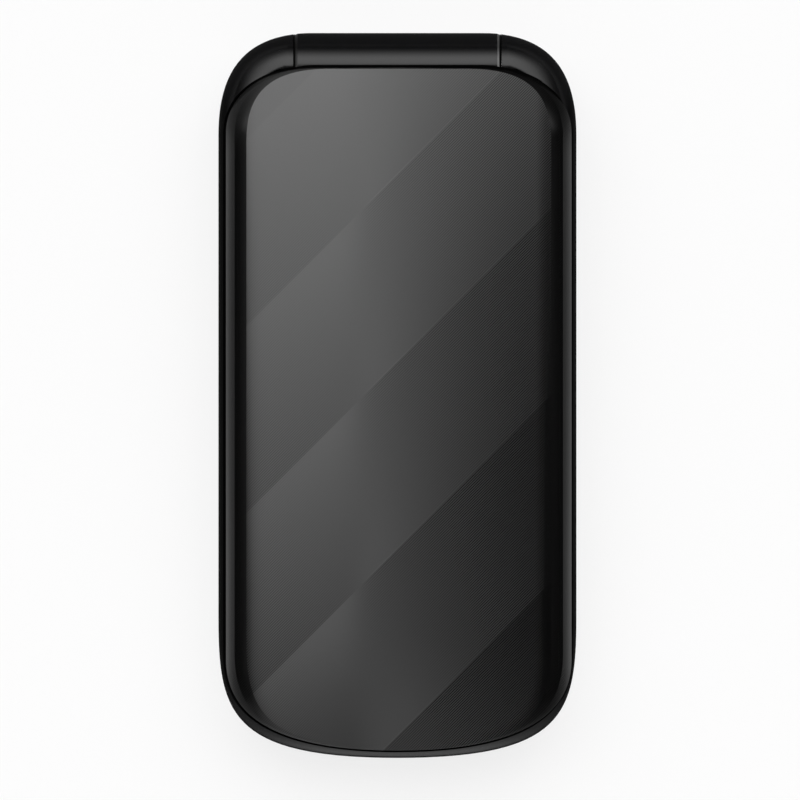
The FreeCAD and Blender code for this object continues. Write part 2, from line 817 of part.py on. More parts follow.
# ---------------------------------------------------------------- battery, sockets and sound
def battery():
    length = bay_end - bay_start - 2 * battery_clearance
    return rounded_plate(0, (bay_start + bay_end) / 2, 2 * battery_half_width, length, battery_corner,
                         battery_bottom, battery_bottom + battery_thickness)


def contact_window():
    width, depth = contact_block
    return box(contact_x - width / 2 - slack, contact_x + width / 2 + slack, bay_end - slack,
               bay_end + depth, battery_bottom, board_bottom)


def battery_connector():
    """The spring contact block at the bay's end, soldered under the board."""
    width, depth = contact_block
    body = box(contact_x - width / 2, contact_x + width / 2, bay_end, bay_end + depth - slack,
               battery_bottom + contact_foot, board_bottom)
    first = contact_x - (contact_pins - 1) / 2 * contact_pitch
    pin_width, pin_height = contact_pin
    low = battery_bottom + contact_pin_foot
    pins = [box(first + n * contact_pitch - pin_width / 2, first + n * contact_pitch + pin_width / 2,
                bay_end - battery_clearance + seat_clearance, bay_end + slack, low, low + pin_height)
            for n in range(contact_pins)]
    return body.fuse(pins)


def card_holder(side):
    """A sheet-metal card socket under the board, open to the bay, with its contact tongues."""
    x, y = card_place(side)
    width, length = card_size
    low = bay_top + seat_clearance
    frame = centred_box(x, y, width, length, low, board_bottom)
    half = width / 2 - card_rail
    room = box(x - half, x + half, y - length, y + length / 2 - card_rail,
               low + card_sheet, low + card_sheet + card_room)
    side_margin, end_margin = card_view_margin
    view = centred_box(x, y, width - 2 * side_margin, length - 2 * end_margin, low - 1, low + card_room / 2)
    return frame.cut([room, view])


def lower_edges(shape):
    """The two edges along Y at a block's underside."""
    box_y = shape.BoundBox.YLength
    return [e for e in edges_at(shape, shape.BoundBox.ZMin) if e.BoundBox.YLength > box_y / 2]


def usb_connector():
    """A receptacle shell, open at the chin, with its contact tongue."""
    front = chin_y + usb_recess
    body = box(-usb_half_width, usb_half_width, front, front + usb_length,
               port_z - usb_height / 2, port_z + usb_height / 2)
    body = body.makeChamfer(usb_chamfer, lower_edges(body))
    back = front + usb_length - usb_back
    room = box(-usb_half_width + usb_wall, usb_half_width - usb_wall, front - 1, back,
               port_z - usb_height / 2 + usb_wall, port_z + usb_height / 2 - usb_wall)
    room = room.makeChamfer(usb_chamfer, lower_edges(room))
    width, height, length = usb_tongue
    low = port_z + usb_tongue_lift
    tongue = box(-width / 2, width / 2, back - length, back + slack, low, low + height)
    return body.cut(room).fuse(tongue)


def headset_jack():
    length, width, height = jack_body
    body = box(jack_start, jack_start + length, jack_y - width / 2, jack_y + width / 2,
               board_bottom - height, board_bottom)
    nose_start = -half_width + jack_face_inset
    nose = Part.makeCylinder(jack_nose_radius, jack_start - nose_start + slack, V(nose_start, jack_y, jack_z),
                             V(1, 0, 0))
    bore = Part.makeCylinder(jack_bore_radius, jack_bore_length, V(nose_start, jack_y, jack_z), V(1, 0, 0))
    return body.fuse(nose).cut(bore)


def volume_rocker():
    """The side key: it tips on its middle, held behind the wall by a flange."""
    cap = rocker_block(rocker_back - slack, half_width - rocker_face_inset, 0)
    upright = [e for e in cap.Edges if e.BoundBox.XMin > half_width - 1 and e.BoundBox.XLength < 1e-6]
    cap = cap.makeFillet(rocker_edge, upright)
    flange = rocker_block(rocker_back - rocker_flange_thickness, rocker_back, rocker_flange)
    return cap.fuse(flange)


def loudspeaker():
    low = back_skin + mesh_thickness + seat_clearance
    basket = post(speaker_x, speaker_y, speaker_radius, low, low + speaker_height)
    back = low + speaker_height + speaker_magnet_rise
    magnet = post(speaker_x, speaker_y, speaker_magnet_radius, low, back)
    front = post(speaker_x, speaker_y, speaker_radius - speaker_rim, low - 1, low + speaker_cone_depth)
    return basket.fuse(magnet).cut(front)


def speaker_mesh():
    return post(speaker_x, speaker_y, speaker_radius, back_skin, back_skin + mesh_thickness)


def camera_module():
    low = back_skin + slack
    shoulder = low + camera_barrel_height
    block = centred_box(camera_x, camera_y, camera_size, camera_size, shoulder, board_bottom)
    barrel = post(camera_x, camera_y, camera_barrel_radius, low, shoulder + slack)
    mouth = Part.makeCone(*camera_mouth, V(camera_x, camera_y, low))
    return block.fuse(barrel).cut(mouth)


def camera_window():
    return post(camera_x, camera_y, camera_window_radius, camera_window_recess,
                camera_window_recess + camera_window_thickness)


def vibration_motor():
    coin = post(motor_x, motor_y, motor_radius, board_bottom - motor_height, board_bottom)
    return coin.makeFillet(motor_edge, edges_at(coin, board_bottom - motor_height))


def microphone():
    return post(mic_x, mic_y, mic_radius, board_top, board_top + mic_height)


def antenna():
    """The antenna's carrier in the hinge end, with its feed rib standing on the back skin."""
    block = slab(inset(outline, wall + antenna_clearance), back_skin, shelf_z - seat_wall - antenna_clearance)
    block = block.common(box(-wide, wide, hinge_y - antenna_start, wide, 0, tall))
    keep_in = along_hinge(seat_radius + seat_wall + antenna_clearance, -wide, wide)
    room = box(-antenna_room_half_width, antenna_room_half_width, hinge_y - antenna_start + antenna_end_wall,
               half_length - wall - 2 * antenna_end_wall, back_skin + antenna_floor, tall)
    return block.cut([keep_in, room])


def base_screws():
    screws = []
    for x, y in screw_places:
        head = post(x, y, screw_head_radius, door_thickness + door_gap + slack / 2, screw_seat)
        drive = Part.makeCylinder(*screw_drive, V(x, y, door_thickness))
        shank = post(x, y, screw_radius, screw_seat - slack, base_top - screw_tip_cover - slack)
        screws.append(head.fuse(shank).cut(drive))
    return Part.makeCompound(screws)


def screw_plugs():
    """The rubber plugs over the two screws that the door leaves showing."""
    places = screw_places[-2:]
    return Part.makeCompound([post(x, y, screw_head_radius + slack - seat_clearance, plug_lift,
                                   door_thickness + door_gap) for x, y in places])


# ---------------------------------------------------------------- the hinge's own parts
def hinge_cam_unit():
    """The spring and cam cartridge, pressed into the barrel: its bore takes the lid's shaft."""
    start = -barrel_half_length + slack
    tube = along_hinge(cam_unit_radius, start, start + cam_unit_length - slack)
    bore = along_hinge(cam_shaft_radius + running_clearance, start - 1,
                       start + cam_shaft_length - cam_shaft_grip)
    return tube.cut(bore)


def hinge_cam_shaft():
    """The cartridge's turning end, keyed into the left ear."""
    end = -ear_start - cam_shaft_grip
    shaft = along_hinge(cam_shaft_radius, end, end + cam_shaft_length)
    flat = box(end - 1, -ear_start, -wide, wide, hinge_z + cam_shaft_flat, tall)
    return shaft.cut(flat)


def hinge_bush():
    """The hollow pivot in the right ear, which the display's ribbon runs through."""
    tube = along_hinge(bush_outer_radius, bush_start, bush_end)
    return tube.cut(along_hinge(bush_inner_radius, -wide, wide))


def ribbon_roll(x0, x1):
    """The ribbon rolled to go through the pivot."""
    outer = bush_inner_radius - ribbon_roll_gap
    return along_hinge(outer, x0, x1).cut(along_hinge(outer - ribbon_thickness, x0 - 1, x1 + 1))


def display_flex_base():
    """The ribbon's fixed part: rolled in the barrel, down its slot and forward to the socket on the board."""
    roll = ribbon_roll(ribbon_start + slack, bush_start - slack)
    x0 = ribbon_start + 2 * slack
    x1 = ribbon_start + ribbon_width - 2 * slack
    y = hinge_y - ribbon_tail
    tail = box(x0, x1, y, y + ribbon_thickness, ribbon_foot_z, hinge_z)
    foot = box(x0, x1, ribbon_socket_y, y + ribbon_thickness, ribbon_foot_z, ribbon_foot_z + ribbon_thickness)
    return roll.fuse([tail, foot])


def ribbon_exit():
    """The ribbon's way from the pivot in the ear forward into the lid."""
    x = bush_end + ribbon_way
    return box(x - ribbon_way, x, hinge_y - lid_solid_reach - 1, hinge_y - bush_inner_radius / 2,
               hinge_z - ribbon_way_height / 2, hinge_z + ribbon_way_height / 2)


def display_flex_lid():
    """The ribbon's turning part: rolled through the pivot, out of the ear, and flat under the lid's plate."""
    roll = ribbon_roll(bush_start + slack, ribbon_end)
    z = plate_bottom - slack - ribbon_thickness
    narrow = ribbon_way - 4 * slack
    front = hinge_y - lid_solid_reach
    x1 = half_width - lid_screws_hinge[0] - lid_boss_radius - lid_ribbon_boss_gap
    turn = front - 2 * ribbon_thickness
    riser = box(ribbon_end - narrow, ribbon_end, turn, hinge_y - ribbon_tail + ribbon_thickness,
                hinge_z, hinge_z + ribbon_thickness)
    step = box(ribbon_end - narrow, ribbon_end, turn, turn + ribbon_thickness, hinge_z, z + ribbon_thickness)
    boss_top = hinge_y - lid_screws_hinge[1] + lid_boss_radius
    x0 = x1 - lid_ribbon_width
    jog = box(x0, ribbon_end, boss_top + lid_ribbon_boss_gap, front, z, z + ribbon_thickness)
    strip = box(x0, x1, lcd_end - slack, front, z, z + ribbon_thickness)
    return roll.fuse([riser, step, jog, strip])


# ---------------------------------------------------------------- the lid's shells
def lid_outside():
    """The lid without its cover: rounded edge, ears round the axis, hollowed for the fixed barrel."""
    block = slab(outline, lid_bottom, frame_top)
    block = block.makeFillet(frame_edge_radius - slack / 10, edges_at(block, frame_top))
    front = block.cut(box(-wide, wide, hinge_y, wide, -tall, tall))
    deep = slab(outline, -tall, frame_top)
    deep = deep.makeFillet(frame_edge_radius - slack / 10, edges_at(deep, frame_top))
    ear_bar = along_hinge(barrel_radius, -half_width, half_width).common(deep)
    body = front.fuse(ear_bar)
    body = body.cut(centre_zone(ear_start, hinge_y - slack, wide))
    return body.cut(along_hinge(barrel_radius + barrel_clearance, -ear_start, ear_start))


def lid_frame():
    """The middle frame: the rim that shows round the cover, the plate under it, and the two hinge ears."""
    body = lid_outside()
    ears = along_hinge(barrel_radius, -wide, wide)
    upper = body.common(box(-wide, wide, -wide, wide, lid_split + seat_clearance, tall).fuse(ears))
    below = slab(inset(outline, lid_wall), -tall, plate_bottom)
    below = below.common(box(-wide, wide, -wide, hinge_y - lid_solid_reach, -tall, tall))
    opening = slab(inset(seam, -seam_gap / 2), plate_top, tall)
    bosses = [post(x, y, lid_boss_radius, lid_split + seat_clearance, plate_bottom + slack)
              for x, y in lid_screw_places]
    bosses = [b.common(slab(inset(outline, lid_wall / 2), 0, tall)) for b in bosses]
    frame = upper.cut([below, opening]).fuse(bosses)
    bush_seat = along_hinge(bush_outer_radius + seat_clearance, ear_start - 1, bush_end + seat_clearance)
    ribbon = along_hinge(bush_inner_radius, ear_start, bush_end + ribbon_way)
    holes = [post(x, y, lid_screw_radius + screw_hole_clearance, 0, plate_top - screw_tip_cover)
             for x, y in lid_screw_places]
    return frame.cut([cam_shaft_seat(), bush_seat, ribbon, ribbon_exit()] + holes)


def cam_shaft_seat():
    """The keyed hole in the left ear: round, with one flat."""
    hole = along_hinge(cam_shaft_radius + seat_clearance, -ear_start - cam_shaft_grip - slack, -ear_start + 1)
    flat = box(-wide, 0, -wide, wide, hinge_z + cam_shaft_flat + seat_clearance, tall)
    return hole.cut(flat)


def lid_inner_housing():
    """The face round the display, with the window's recess, the sound slot and the screw holes."""
    body = lid_outside()
    shell = body.common(box(-wide, wide, -wide, wide, lid_bottom, lid_split))
    shell = shell.cut(along_hinge(barrel_radius + seat_clearance, -wide, wide))
    room = slab(inset(outline, lid_wall), lid_bottom + face_thickness, lid_split + 1)
    room = room.common(box(-wide, wide, -wide, hinge_y - lid_solid_reach, -tall, tall))
    bosses = [post(x, y, lid_boss_radius, lid_bottom + face_thickness / 2, lid_split)
              for x, y in lid_screw_places]
    bosses = [b.common(slab(inset(outline, lid_wall / 2), 0, tall)) for b in bosses]
    shell = shell.cut(room).fuse(bosses)
    recess = window_plate(window_clearance, lid_bottom - 1, lid_bottom + window_recess)
    view = rounded_plate(0, view_y, 2 * view_half_width, view_length, view_corner, 0, lid_split + 1)
    cuts = [recess, view, sound_slot(), ribbon_exit()]
    for x, y in lid_screw_places:
        cuts.append(post(x, y, lid_screw_radius + screw_hole_clearance, 0, tall))
        cuts.append(post(x, y, bumper_radius + seat_clearance, lid_bottom - 1, lid_bottom + bumper_depth))
        cuts.append(post(x, y, lid_screw_head_radius + slack, lid_bottom - 1,
                         lid_bottom + bumper_depth + lid_screw_head + seat_clearance))
    return shell.cut(cuts)


def sound_slot():
    return rounded_plate(0, earpiece_y, ear_slot_length, ear_slot_width, ear_slot_width / 2, 0, lid_split + 1)


def window_plate(grow, z0, z1):
    width = 2 * (window_half_width + grow)
    length = window_end - window_start + 2 * grow
    return rounded_plate(0, (window_start + window_end) / 2, width, length, window_corner + grow, z0, z1)


def display_window():
    top = lid_bottom + window_recess - seat_clearance
    return window_plate(0, top - window_thickness, top).cut(sound_slot())


def lcd_module():
    low = lid_bottom + face_thickness + running_clearance
    return rounded_plate(0, view_y, 2 * lcd_half_width, lcd_length, lcd_corner, low, low + lcd_thickness)


def earpiece():
    width, length, height = earpiece_size
    low = lid_bottom + face_thickness + mesh_thickness + seat_clearance
    return rounded_plate(0, earpiece_y, width, length, earpiece_corner, low, low + height)


def earpiece_mesh():
    """The grille cloth between the sound slot and the earpiece."""
    width, length, _ = earpiece_size
    low = lid_bottom + face_thickness
    return rounded_plate(0, earpiece_y, width, length, earpiece_corner, low, low + mesh_thickness)


def lid_magnet():
    low = lid_bottom + face_thickness + seat_clearance
    return post(-magnet_x, earpiece_y, magnet_radius, low, low + magnet_thickness)


def lid_bumpers():
    """Four soft dots that the lid shuts on, over its screws."""
    dots = []
    for x, y in lid_screw_places:
        dot = post(x, y, bumper_radius, lid_bottom - bumper_proud, lid_bottom + bumper_depth - seat_clearance)
        dots.append(dot.makeFillet(bumper_edge, edges_at(dot, lid_bottom - bumper_proud)))
    return Part.makeCompound(dots)


def lid_screws():
    screws = []
    for x, y in lid_screw_places:
        low = lid_bottom + bumper_depth
        head = post(x, y, lid_screw_head_radius, low, low + lid_screw_head)
        shank = post(x, y, lid_screw_radius, low, low + lid_screw_length)
        screws.append(head.fuse(shank).cut(Part.makeCylinder(*lid_screw_drive, V(x, y, low))))
    return Part.makeCompound(screws)


def lid_cover():
    """The outer cover: an upright edge, a flank that falls in two slopes, and a flat face; hollow beneath."""
    edge = inset(seam, seam_gap / 2)
    face = inset(flat_face, seam_gap / 2)._replace(half_width=flat_face.half_width)
    low = plate_top + slack
    shoulder = low + cover_edge_height
    knee = between(edge, face, flank_knee)
    skin = slab(edge, low, shoulder)
    lower = Part.makeLoft([plan_wire(edge, shoulder), plan_wire(knee, lid_top - flank_knee_drop)], True, True)
    upper = Part.makeLoft([plan_wire(knee, lid_top - flank_knee_drop), plan_wire(face, lid_top)], True, True)
    body = skin.fuse([lower, upper])
    hollow = slab(inset(edge, cover_wall), low - 1, lid_top - cover_skin)
    hollow = hollow.common(box(-wide, wide, -wide, hinge_y - lid_solid_reach, -tall, tall))
    body = body.cut(hollow)
    return body.cut(along_hinge(barrel_radius + barrel_clearance, -wide, wide))


# ---------------------------------------------------------------- every piece by name
def pieces():
    made = {
        "lid_cover": lid_cover(), "lid_frame": lid_frame(), "lid_inner_housing": lid_inner_housing(),
        "display_window": display_window(), "lcd_module": lcd_module(), "earpiece": earpiece(),
        "earpiece_mesh": earpiece_mesh(), "lid_magnet": lid_magnet(), "lid_bumpers": lid_bumpers(),
        "lid_screws": lid_screws(), "display_flex_lid": display_flex_lid(),
        "hinge_cam_shaft": hinge_cam_shaft(), "hinge_bush": hinge_bush(),
        "battery_cover": battery_cover(), "rear_housing": rear_housing(), "front_housing": front_housing(),
        "battery": battery(), "battery_connector": battery_connector(), "main_board": main_board(),
        "board_components": board_components(), "shield_cans": shield_cans(), "dome_sheet": dome_sheet(),
        "keypad_mat": keypad_mat(), "loudspeaker": loudspeaker(), "speaker_mesh": speaker_mesh(),
        "camera_module": camera_module(), "camera_window": camera_window(),
        "vibration_motor": vibration_motor(), "microphone": microphone(), "usb_connector": usb_connector(),
        "headset_jack": headset_jack(), "sim_holder": card_holder(-1), "memory_card_holder": card_holder(1),
        "antenna": antenna(), "base_screws": base_screws(), "screw_plugs": screw_plugs(),
        "hinge_cam_unit": hinge_cam_unit(), "display_flex_base": display_flex_base(),
        "nav_gimbal": nav_gimbal(), "nav_ring": nav_ring(), "key_ok": ok_key(),
        "volume_rocker": volume_rocker(),
    }
    for name, x, y, width, length in key_plan():
        made[name] = flat_key(x, y, width, length)
    return made


def main():
    os.makedirs("parts", exist_ok=True)
    for name, shape in pieces().items():
        shape.exportStep(os.path.join("parts", name + ".step"))
        print(f"{name}: {len(shape.Solids)} solid(s), {sum(s.Volume for s in shape.Solids):.1f} mm3")


main()
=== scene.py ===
import contextlib
import json
import math

import bmesh
import bpy
import numpy as np
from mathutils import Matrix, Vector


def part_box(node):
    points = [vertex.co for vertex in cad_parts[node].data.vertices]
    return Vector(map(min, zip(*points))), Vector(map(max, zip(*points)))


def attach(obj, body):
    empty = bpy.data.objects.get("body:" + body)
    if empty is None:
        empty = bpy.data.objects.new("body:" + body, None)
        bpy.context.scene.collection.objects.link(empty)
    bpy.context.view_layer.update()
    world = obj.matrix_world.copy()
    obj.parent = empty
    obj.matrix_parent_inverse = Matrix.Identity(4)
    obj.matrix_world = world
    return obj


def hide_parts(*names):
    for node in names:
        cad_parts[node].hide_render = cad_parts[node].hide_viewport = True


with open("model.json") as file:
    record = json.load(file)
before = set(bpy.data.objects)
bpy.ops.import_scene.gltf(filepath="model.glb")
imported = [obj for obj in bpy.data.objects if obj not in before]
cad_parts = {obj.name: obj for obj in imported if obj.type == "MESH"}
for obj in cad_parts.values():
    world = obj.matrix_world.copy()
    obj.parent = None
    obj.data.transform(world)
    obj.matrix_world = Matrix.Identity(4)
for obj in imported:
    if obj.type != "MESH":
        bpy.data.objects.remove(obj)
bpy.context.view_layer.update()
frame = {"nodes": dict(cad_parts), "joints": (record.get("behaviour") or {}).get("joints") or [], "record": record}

mm = 0.001  # every size below is in millimetres


# ---- places read from the frame, in millimetres
def nodeBox(name):
    # lowest and highest corner of a CAD node
    low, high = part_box(name)
    return np.array(low) / mm, np.array(high) / mm


hingeJoint = next(j for j in frame["joints"] if j["name"] == "lid_hinge")
axisY, axisZ = hingeJoint["pos_m"][1] / mm, hingeJoint["pos_m"][2] / mm
barrelRadius = 5.0

# ---- the phone's outline and the cover's lines
phone = {
    "halfWidth": 26.0, "hingeEnd": 52.65, "chin": -52.65,
    "sideTop": 37.9, "sideBottom": -32.4, "flat": 12.0,
    "cornerPull": 0.68, "chinSidePull": 0.68, "chinPull": 0.935,
    "frameRadius": 4.49, "rimRadius": 0.6, "backRadius": 3.5, "baseTop": 10.4, "frameTop": 17.6,
}
seamLine = {
    "halfWidth": 25.1, "hingeEnd": 47.65, "chin": -51.6,
    "sideTop": 38.0, "sideBottom": -38.3, "flat": 11.75,
    "cornerPull": 0.59, "chinSidePull": 0.45, "chinPull": 0.848,
}
coverLine = {
    "halfWidth": 25.05, "hingeEnd": 47.45, "chin": -51.45,
    "sideTop": 38.0, "sideBottom": -38.3, "flat": 11.9,
    "cornerPull": 0.60, "chinSidePull": 0.45, "chinPull": 0.848,
}
faceLine = {
    "halfWidth": 22.05, "hingeEnd": 47.28, "chin": -51.25,
    "sideTop": 37.0, "sideBottom": -36.0, "flat": 10.0,
    "cornerPull": 0.69, "chinSidePull": 0.58, "chinPull": 0.91,
}


# ---- curves and loops
def bezier(points, count):
    # cubic curve: the four points weighted by (1-t)^3, 3t(1-t)^2, 3t^2(1-t) and t^3, without its last point
    t = np.arange(count)[:, None] / count
    a, b, c, d = np.array(points, float)
    return (1 - t) ** 3 * a + 3 * t * (1 - t) ** 2 * b + 3 * t ** 2 * (1 - t) * c + t ** 3 * d


def straight(start, end, count):
    # evenly spaced points from start towards end, without the last
    t = np.arange(count)[:, None] / count
    return np.array(start, float) * (1 - t) + np.array(end, float) * t


def planLoop(shape, inset=0.0, corner=56, chin=90, side=40, end=40):
    # closed outline, counter-clockwise: hinge end, corner, left side, both halves of the chin, right side
    w, top, low = shape["halfWidth"] - inset, shape["hingeEnd"] - inset, shape["chin"] + inset
    high, base, flat = shape["sideTop"], shape["sideBottom"], shape["flat"]
    cornerX = flat + shape["cornerPull"] * (w - flat)
    cornerY = high + shape["cornerPull"] * (top - high)
    chinY = base - shape["chinSidePull"] * (base - low)
    chinX = shape["chinPull"] * w
    return np.vstack([
        straight((flat, top), (-flat, top), end),
        bezier([(-flat, top), (-cornerX, top), (-w, cornerY), (-w, high)], corner),
        straight((-w, high), (-w, base), side),
        bezier([(-w, base), (-w, chinY), (-chinX, low), (0, low)], chin),
        bezier([(0, low), (chinX, low), (w, chinY), (w, base)], chin),
        straight((w, base), (w, high), side),
        bezier([(w, high), (w, cornerY), (cornerX, top), (flat, top)], corner),
    ])


def loopNormals(loop):
    # outward normal of a counter-clockwise loop: its tangent turned a quarter turn clockwise
    tangent = np.roll(loop, -1, 0) - np.roll(loop, 1, 0)
    normal = np.stack([tangent[:, 1], -tangent[:, 0]], 1)
    return normal / np.linalg.norm(normal, axis=1, keepdims=True)


def roundedRect(width, height, radius, corner=9):
    # counter-clockwise rectangle whose corners are quarter circles
    r = min(radius, width / 2, height / 2)
    hx, hy = width / 2 - r, height / 2 - r
    angle = np.linspace(0, math.pi / 2, corner)
    turn = angle[None, :] + np.arange(4)[:, None] * math.pi / 2
    centreX = np.array([hx, -hx, -hx, hx])[:, None]
    centreY = np.array([hy, hy, -hy, -hy])[:, None]
    return np.stack([centreX + r * np.cos(turn), centreY + r * np.sin(turn)], -1).reshape(-1, 2)


def lift(loop, level):
    # a flat loop as 3-D points: level is one height, or a function of the loop's x and y
    heights = level(loop[:, 0], loop[:, 1]) if callable(level) else np.full(len(loop), float(level))
    return np.column_stack([loop, heights])


def arcBetween(start, control, end, steps):
    # curve from start to end that leaves and arrives towards control: (1-t)^2, 2t(1-t) and t^2
    t = np.linspace(0, 1, steps)[:, None]
    a, b, c = (np.array(v, float) for v in (start, control, end))
    return (1 - t) ** 2 * a + 2 * t * (1 - t) * b + t ** 2 * c


def smoothStep(value, low, high):
    # 0 up to low, 1 from high, and 3t^2 - 2t^3 between them
    t = np.clip((value - low) / (high - low), 0, 1)
    return t * t * (3 - 2 * t)


# ---- meshes: a part is (points, faces, material index of each face)
def loopStack(loops, kinds=0):
    # a surface through loops of equal length, each row of faces with its own kind
    rows = np.array(loops)
    r, c = np.meshgrid(np.arange(len(rows) - 1), np.arange(rows.shape[1]), indexing="ij")
    a = r * rows.shape[1] + c
    b = r * rows.shape[1] + (c + 1) % rows.shape[1]
    faces = np.stack([a, b, b + rows.shape[1], a + rows.shape[1]], -1).reshape(-1, 4)
    kind = np.broadcast_to(kinds, len(rows) - 1)
    return rows.reshape(-1, 3), faces.tolist(), np.repeat(kind, rows.shape[1]).tolist()


def ringStack(rings, kinds=0, corner=9):
    # rounded rectangles (width, height, radius, level) stacked up; width 0 closes an end on its middle
    return loopStack([lift(roundedRect(w, h, r, corner), level) for w, h, r, level in rings], kinds)


def turned(profile, count, kinds=0):
    # a profile of (radius, height) turned about the z axis
    angle = np.arange(count) * 2 * math.pi / count
    circle = np.stack([np.cos(angle), np.sin(angle)], 1)
    return loopStack([lift(circle * radius, height) for radius, height in profile], kinds)


def rolledEdge(width, height, corner, edge, steps, top):
    # rings of a quarter-round edge below the surface top: inset edge * (1 - cos t), drop edge * (1 - sin t)
    rings = []
    for t in np.linspace(0, math.pi / 2, steps):
        inset, drop = edge * (1 - math.cos(t)), edge * (1 - math.sin(t))
        level = lambda x, y, d=drop: top(x, y) - d
        rings.append((width - 2 * inset, height - 2 * inset, corner - inset, level))
    return rings


def crowned(width, height, corner, edge, steps, top):
    # a rolled edge, and then rings on the surface top that shrink to its middle
    w, h, r = width - 2 * edge, height - 2 * edge, corner - edge
    return rolledEdge(width, height, corner, edge, steps, top) + [
        (w * share, h * share, r * share, top) for share in (0.8, 0.6, 0.4, 0.2, 0.0)]


def moved(part, place):
    # the part with its points passed through a function
    return (place(part[0]),) + tuple(part[1:])


def fetch(collection, field, width=3, kind=float):
    # one value of every element, as an array
    values = np.empty(len(collection) * width, kind)
    collection.foreach_get(field, values)
    return values.reshape(-1, width) if width > 1 else values


@contextlib.contextmanager
def reworked(mesh):
    # the mesh opened for changes, which are written back at the end
    work = bmesh.new()
    work.from_mesh(mesh)
    yield work
    work.to_mesh(mesh)
    work.free()


def addObject(name, mesh):
    piece = bpy.data.objects.new(name, mesh)
    bpy.context.scene.collection.objects.link(piece)
    return piece


def assign(piece, body, replaces):
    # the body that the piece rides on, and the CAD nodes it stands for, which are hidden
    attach(piece, body)
    if replaces:
        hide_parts(*replaces)


def makePiece(name, parts, materials, crease=30.0, body=None, replaces=(), close=True):
    # mesh from the parts' arrays: doubles merged, faces outwards, smooth below the crease angle
    points = np.vstack([p[0] for p in parts]) * mm
    starts = np.cumsum([0] + [len(p[0]) for p in parts[:-1]])
    faces = [[v + int(start) for v in face] for start, part in zip(starts, parts) for face in part[1]]
    kinds = [k for part in parts for k in part[2]]
    mesh = bpy.data.meshes.new(name)
    mesh.from_pydata(points.tolist(), [], faces)
    for material in materials:
        mesh.materials.append(material)
    mesh.polygons.foreach_set("material_index", np.array(kinds, np.int32))
    with reworked(mesh) as work:
        bmesh.ops.remove_doubles(work, verts=work.verts, dist=2e-7)
        bmesh.ops.dissolve_degenerate(work, edges=work.edges, dist=1e-7)
        if close:
            bmesh.ops.recalc_face_normals(work, faces=work.faces)
    mesh.polygons.foreach_set("use_smooth", np.ones(len(mesh.polygons), bool))
    mesh.set_sharp_from_angle(angle=math.radians(crease))
    piece = addObject(name, mesh)
    if body:
        assign(piece, body, replaces)
    return piece


# ---- signs: flat shapes as (points, faces), centred in the plane z = 0
signs = {"thickness": 0.02, "above": 0.012}  # half their thickness, and how far they lie above their surface


def writing(text, size):
    # letters or generic signs as a thin solid
    curve = bpy.data.curves.new("writing", "FONT")
    curve.body, curve.size, curve.extrude = text, size * mm, signs["thickness"] * mm
    curve.align_x, curve.align_y, curve.resolution_u = "CENTER", "CENTER", 5
    holder = bpy.data.objects.new("writing", curve)
    mesh = bpy.data.meshes.new_from_object(holder)
    points = fetch(mesh.vertices, "co") / mm
    middle = (points.min(0) + points.max(0)) / 2
    faces = [list(p.vertices) for p in mesh.polygons]
    bpy.data.objects.remove(holder)
    bpy.data.curves.remove(curve)
    bpy.data.meshes.remove(mesh)
    return points - middle, faces


def plaque(outline):
    # a flat outline as a thin solid: its loop at two heights, with one face on each
    count, half = len(outline), signs["thickness"]
    points = np.vstack([lift(outline, half), lift(outline, -half)])
    here = np.arange(count)
    ahead = (here + 1) % count
    sides = np.stack([here + count, ahead + count, ahead, here], 1).tolist()
    return points, [list(range(count)), list(range(2 * count - 1, count - 1, -1))] + sides


def laid(shape, kind, x, y, top, place):
    # a sign moved to (x, y) just above the surface top, and then placed as its piece is
    points, faces = shape
    points = points + [x, y, signs["above"]]
    points[:, 2] += top(points[:, 0], points[:, 1])
    return place(points), faces, [kind] * len(faces)


# ---- fields: values that vary over a surface, and the nodes behind them
class Field:
    # an output of a node; arithmetic on it adds math nodes to its tree
    def __init__(self, socket):
        self.socket, self.tree = socket, socket.id_data

    def __add__(self, other):
        return calc("ADD", self, other)

    def __sub__(self, other):
        return calc("SUBTRACT", self, other)

    def __rsub__(self, other):
        return calc("SUBTRACT", other, self)

    def __mul__(self, other):
        return calc("MULTIPLY", self, other)

    def __truediv__(self, other):
        return calc("DIVIDE", self, other)

    def __pow__(self, other):
        return calc("POWER", self, other)

    def __abs__(self):
        return calc("ABSOLUTE", self)


def plug(value, socket):
    # a field is linked to the socket, a number or colour is set on the socket itself
    if isinstance(value, Field):
        value.tree.links.new(value.socket, socket)
    else:
        socket.default_value = (*value, 1.0) if isinstance(value, tuple) else value


def addNode(tree, kind, inputs, output=0, **settings):
    # a node with its settings and its inputs by name or number; gives one of its outputs
    node = tree.nodes.new(kind)
    for name, value in settings.items():
        setattr(node, name, value)
    for key, value in inputs.items():
        plug(value, node.inputs[key])
    return Field(node.outputs[output])


def calc(operation, *values):
    # one math node on fields and numbers
    tree = next(value.tree for value in values if isinstance(value, Field))
    return addNode(tree, "ShaderNodeMath", dict(enumerate(values)), operation=operation)


def ramp(value, low, high, outLow=0.0, outHigh=1.0):
    # smooth step from outLow at low to outHigh at high
    return addNode(value.tree, "ShaderNodeMapRange", dict(enumerate((value, low, high, outLow, outHigh))),
                   interpolation_type="SMOOTHSTEP")


def between(value, low, high, soft=0.05):
    # 1 where low < value < high, 0 outside
    return ramp(value, low - soft, low + soft) * ramp(value, high - soft, high + soft, 1.0, 0.0)


def mixed(share, first, second):
    # first where the share is 0, second where it is 1
    return share * (second - first) + first


def wave(value, pitch):
    # sine of the value, one turn for each pitch
    return calc("SINE", value * (2 * math.pi / pitch))


def axes(tree, kind):
    # X, Y and Z of a texture coordinate
    split = tree.nodes.new("ShaderNodeSeparateXYZ")
    plug(addNode(tree, "ShaderNodeTexCoord", {}, kind), split.inputs[0])
    return [Field(socket) for socket in split.outputs]


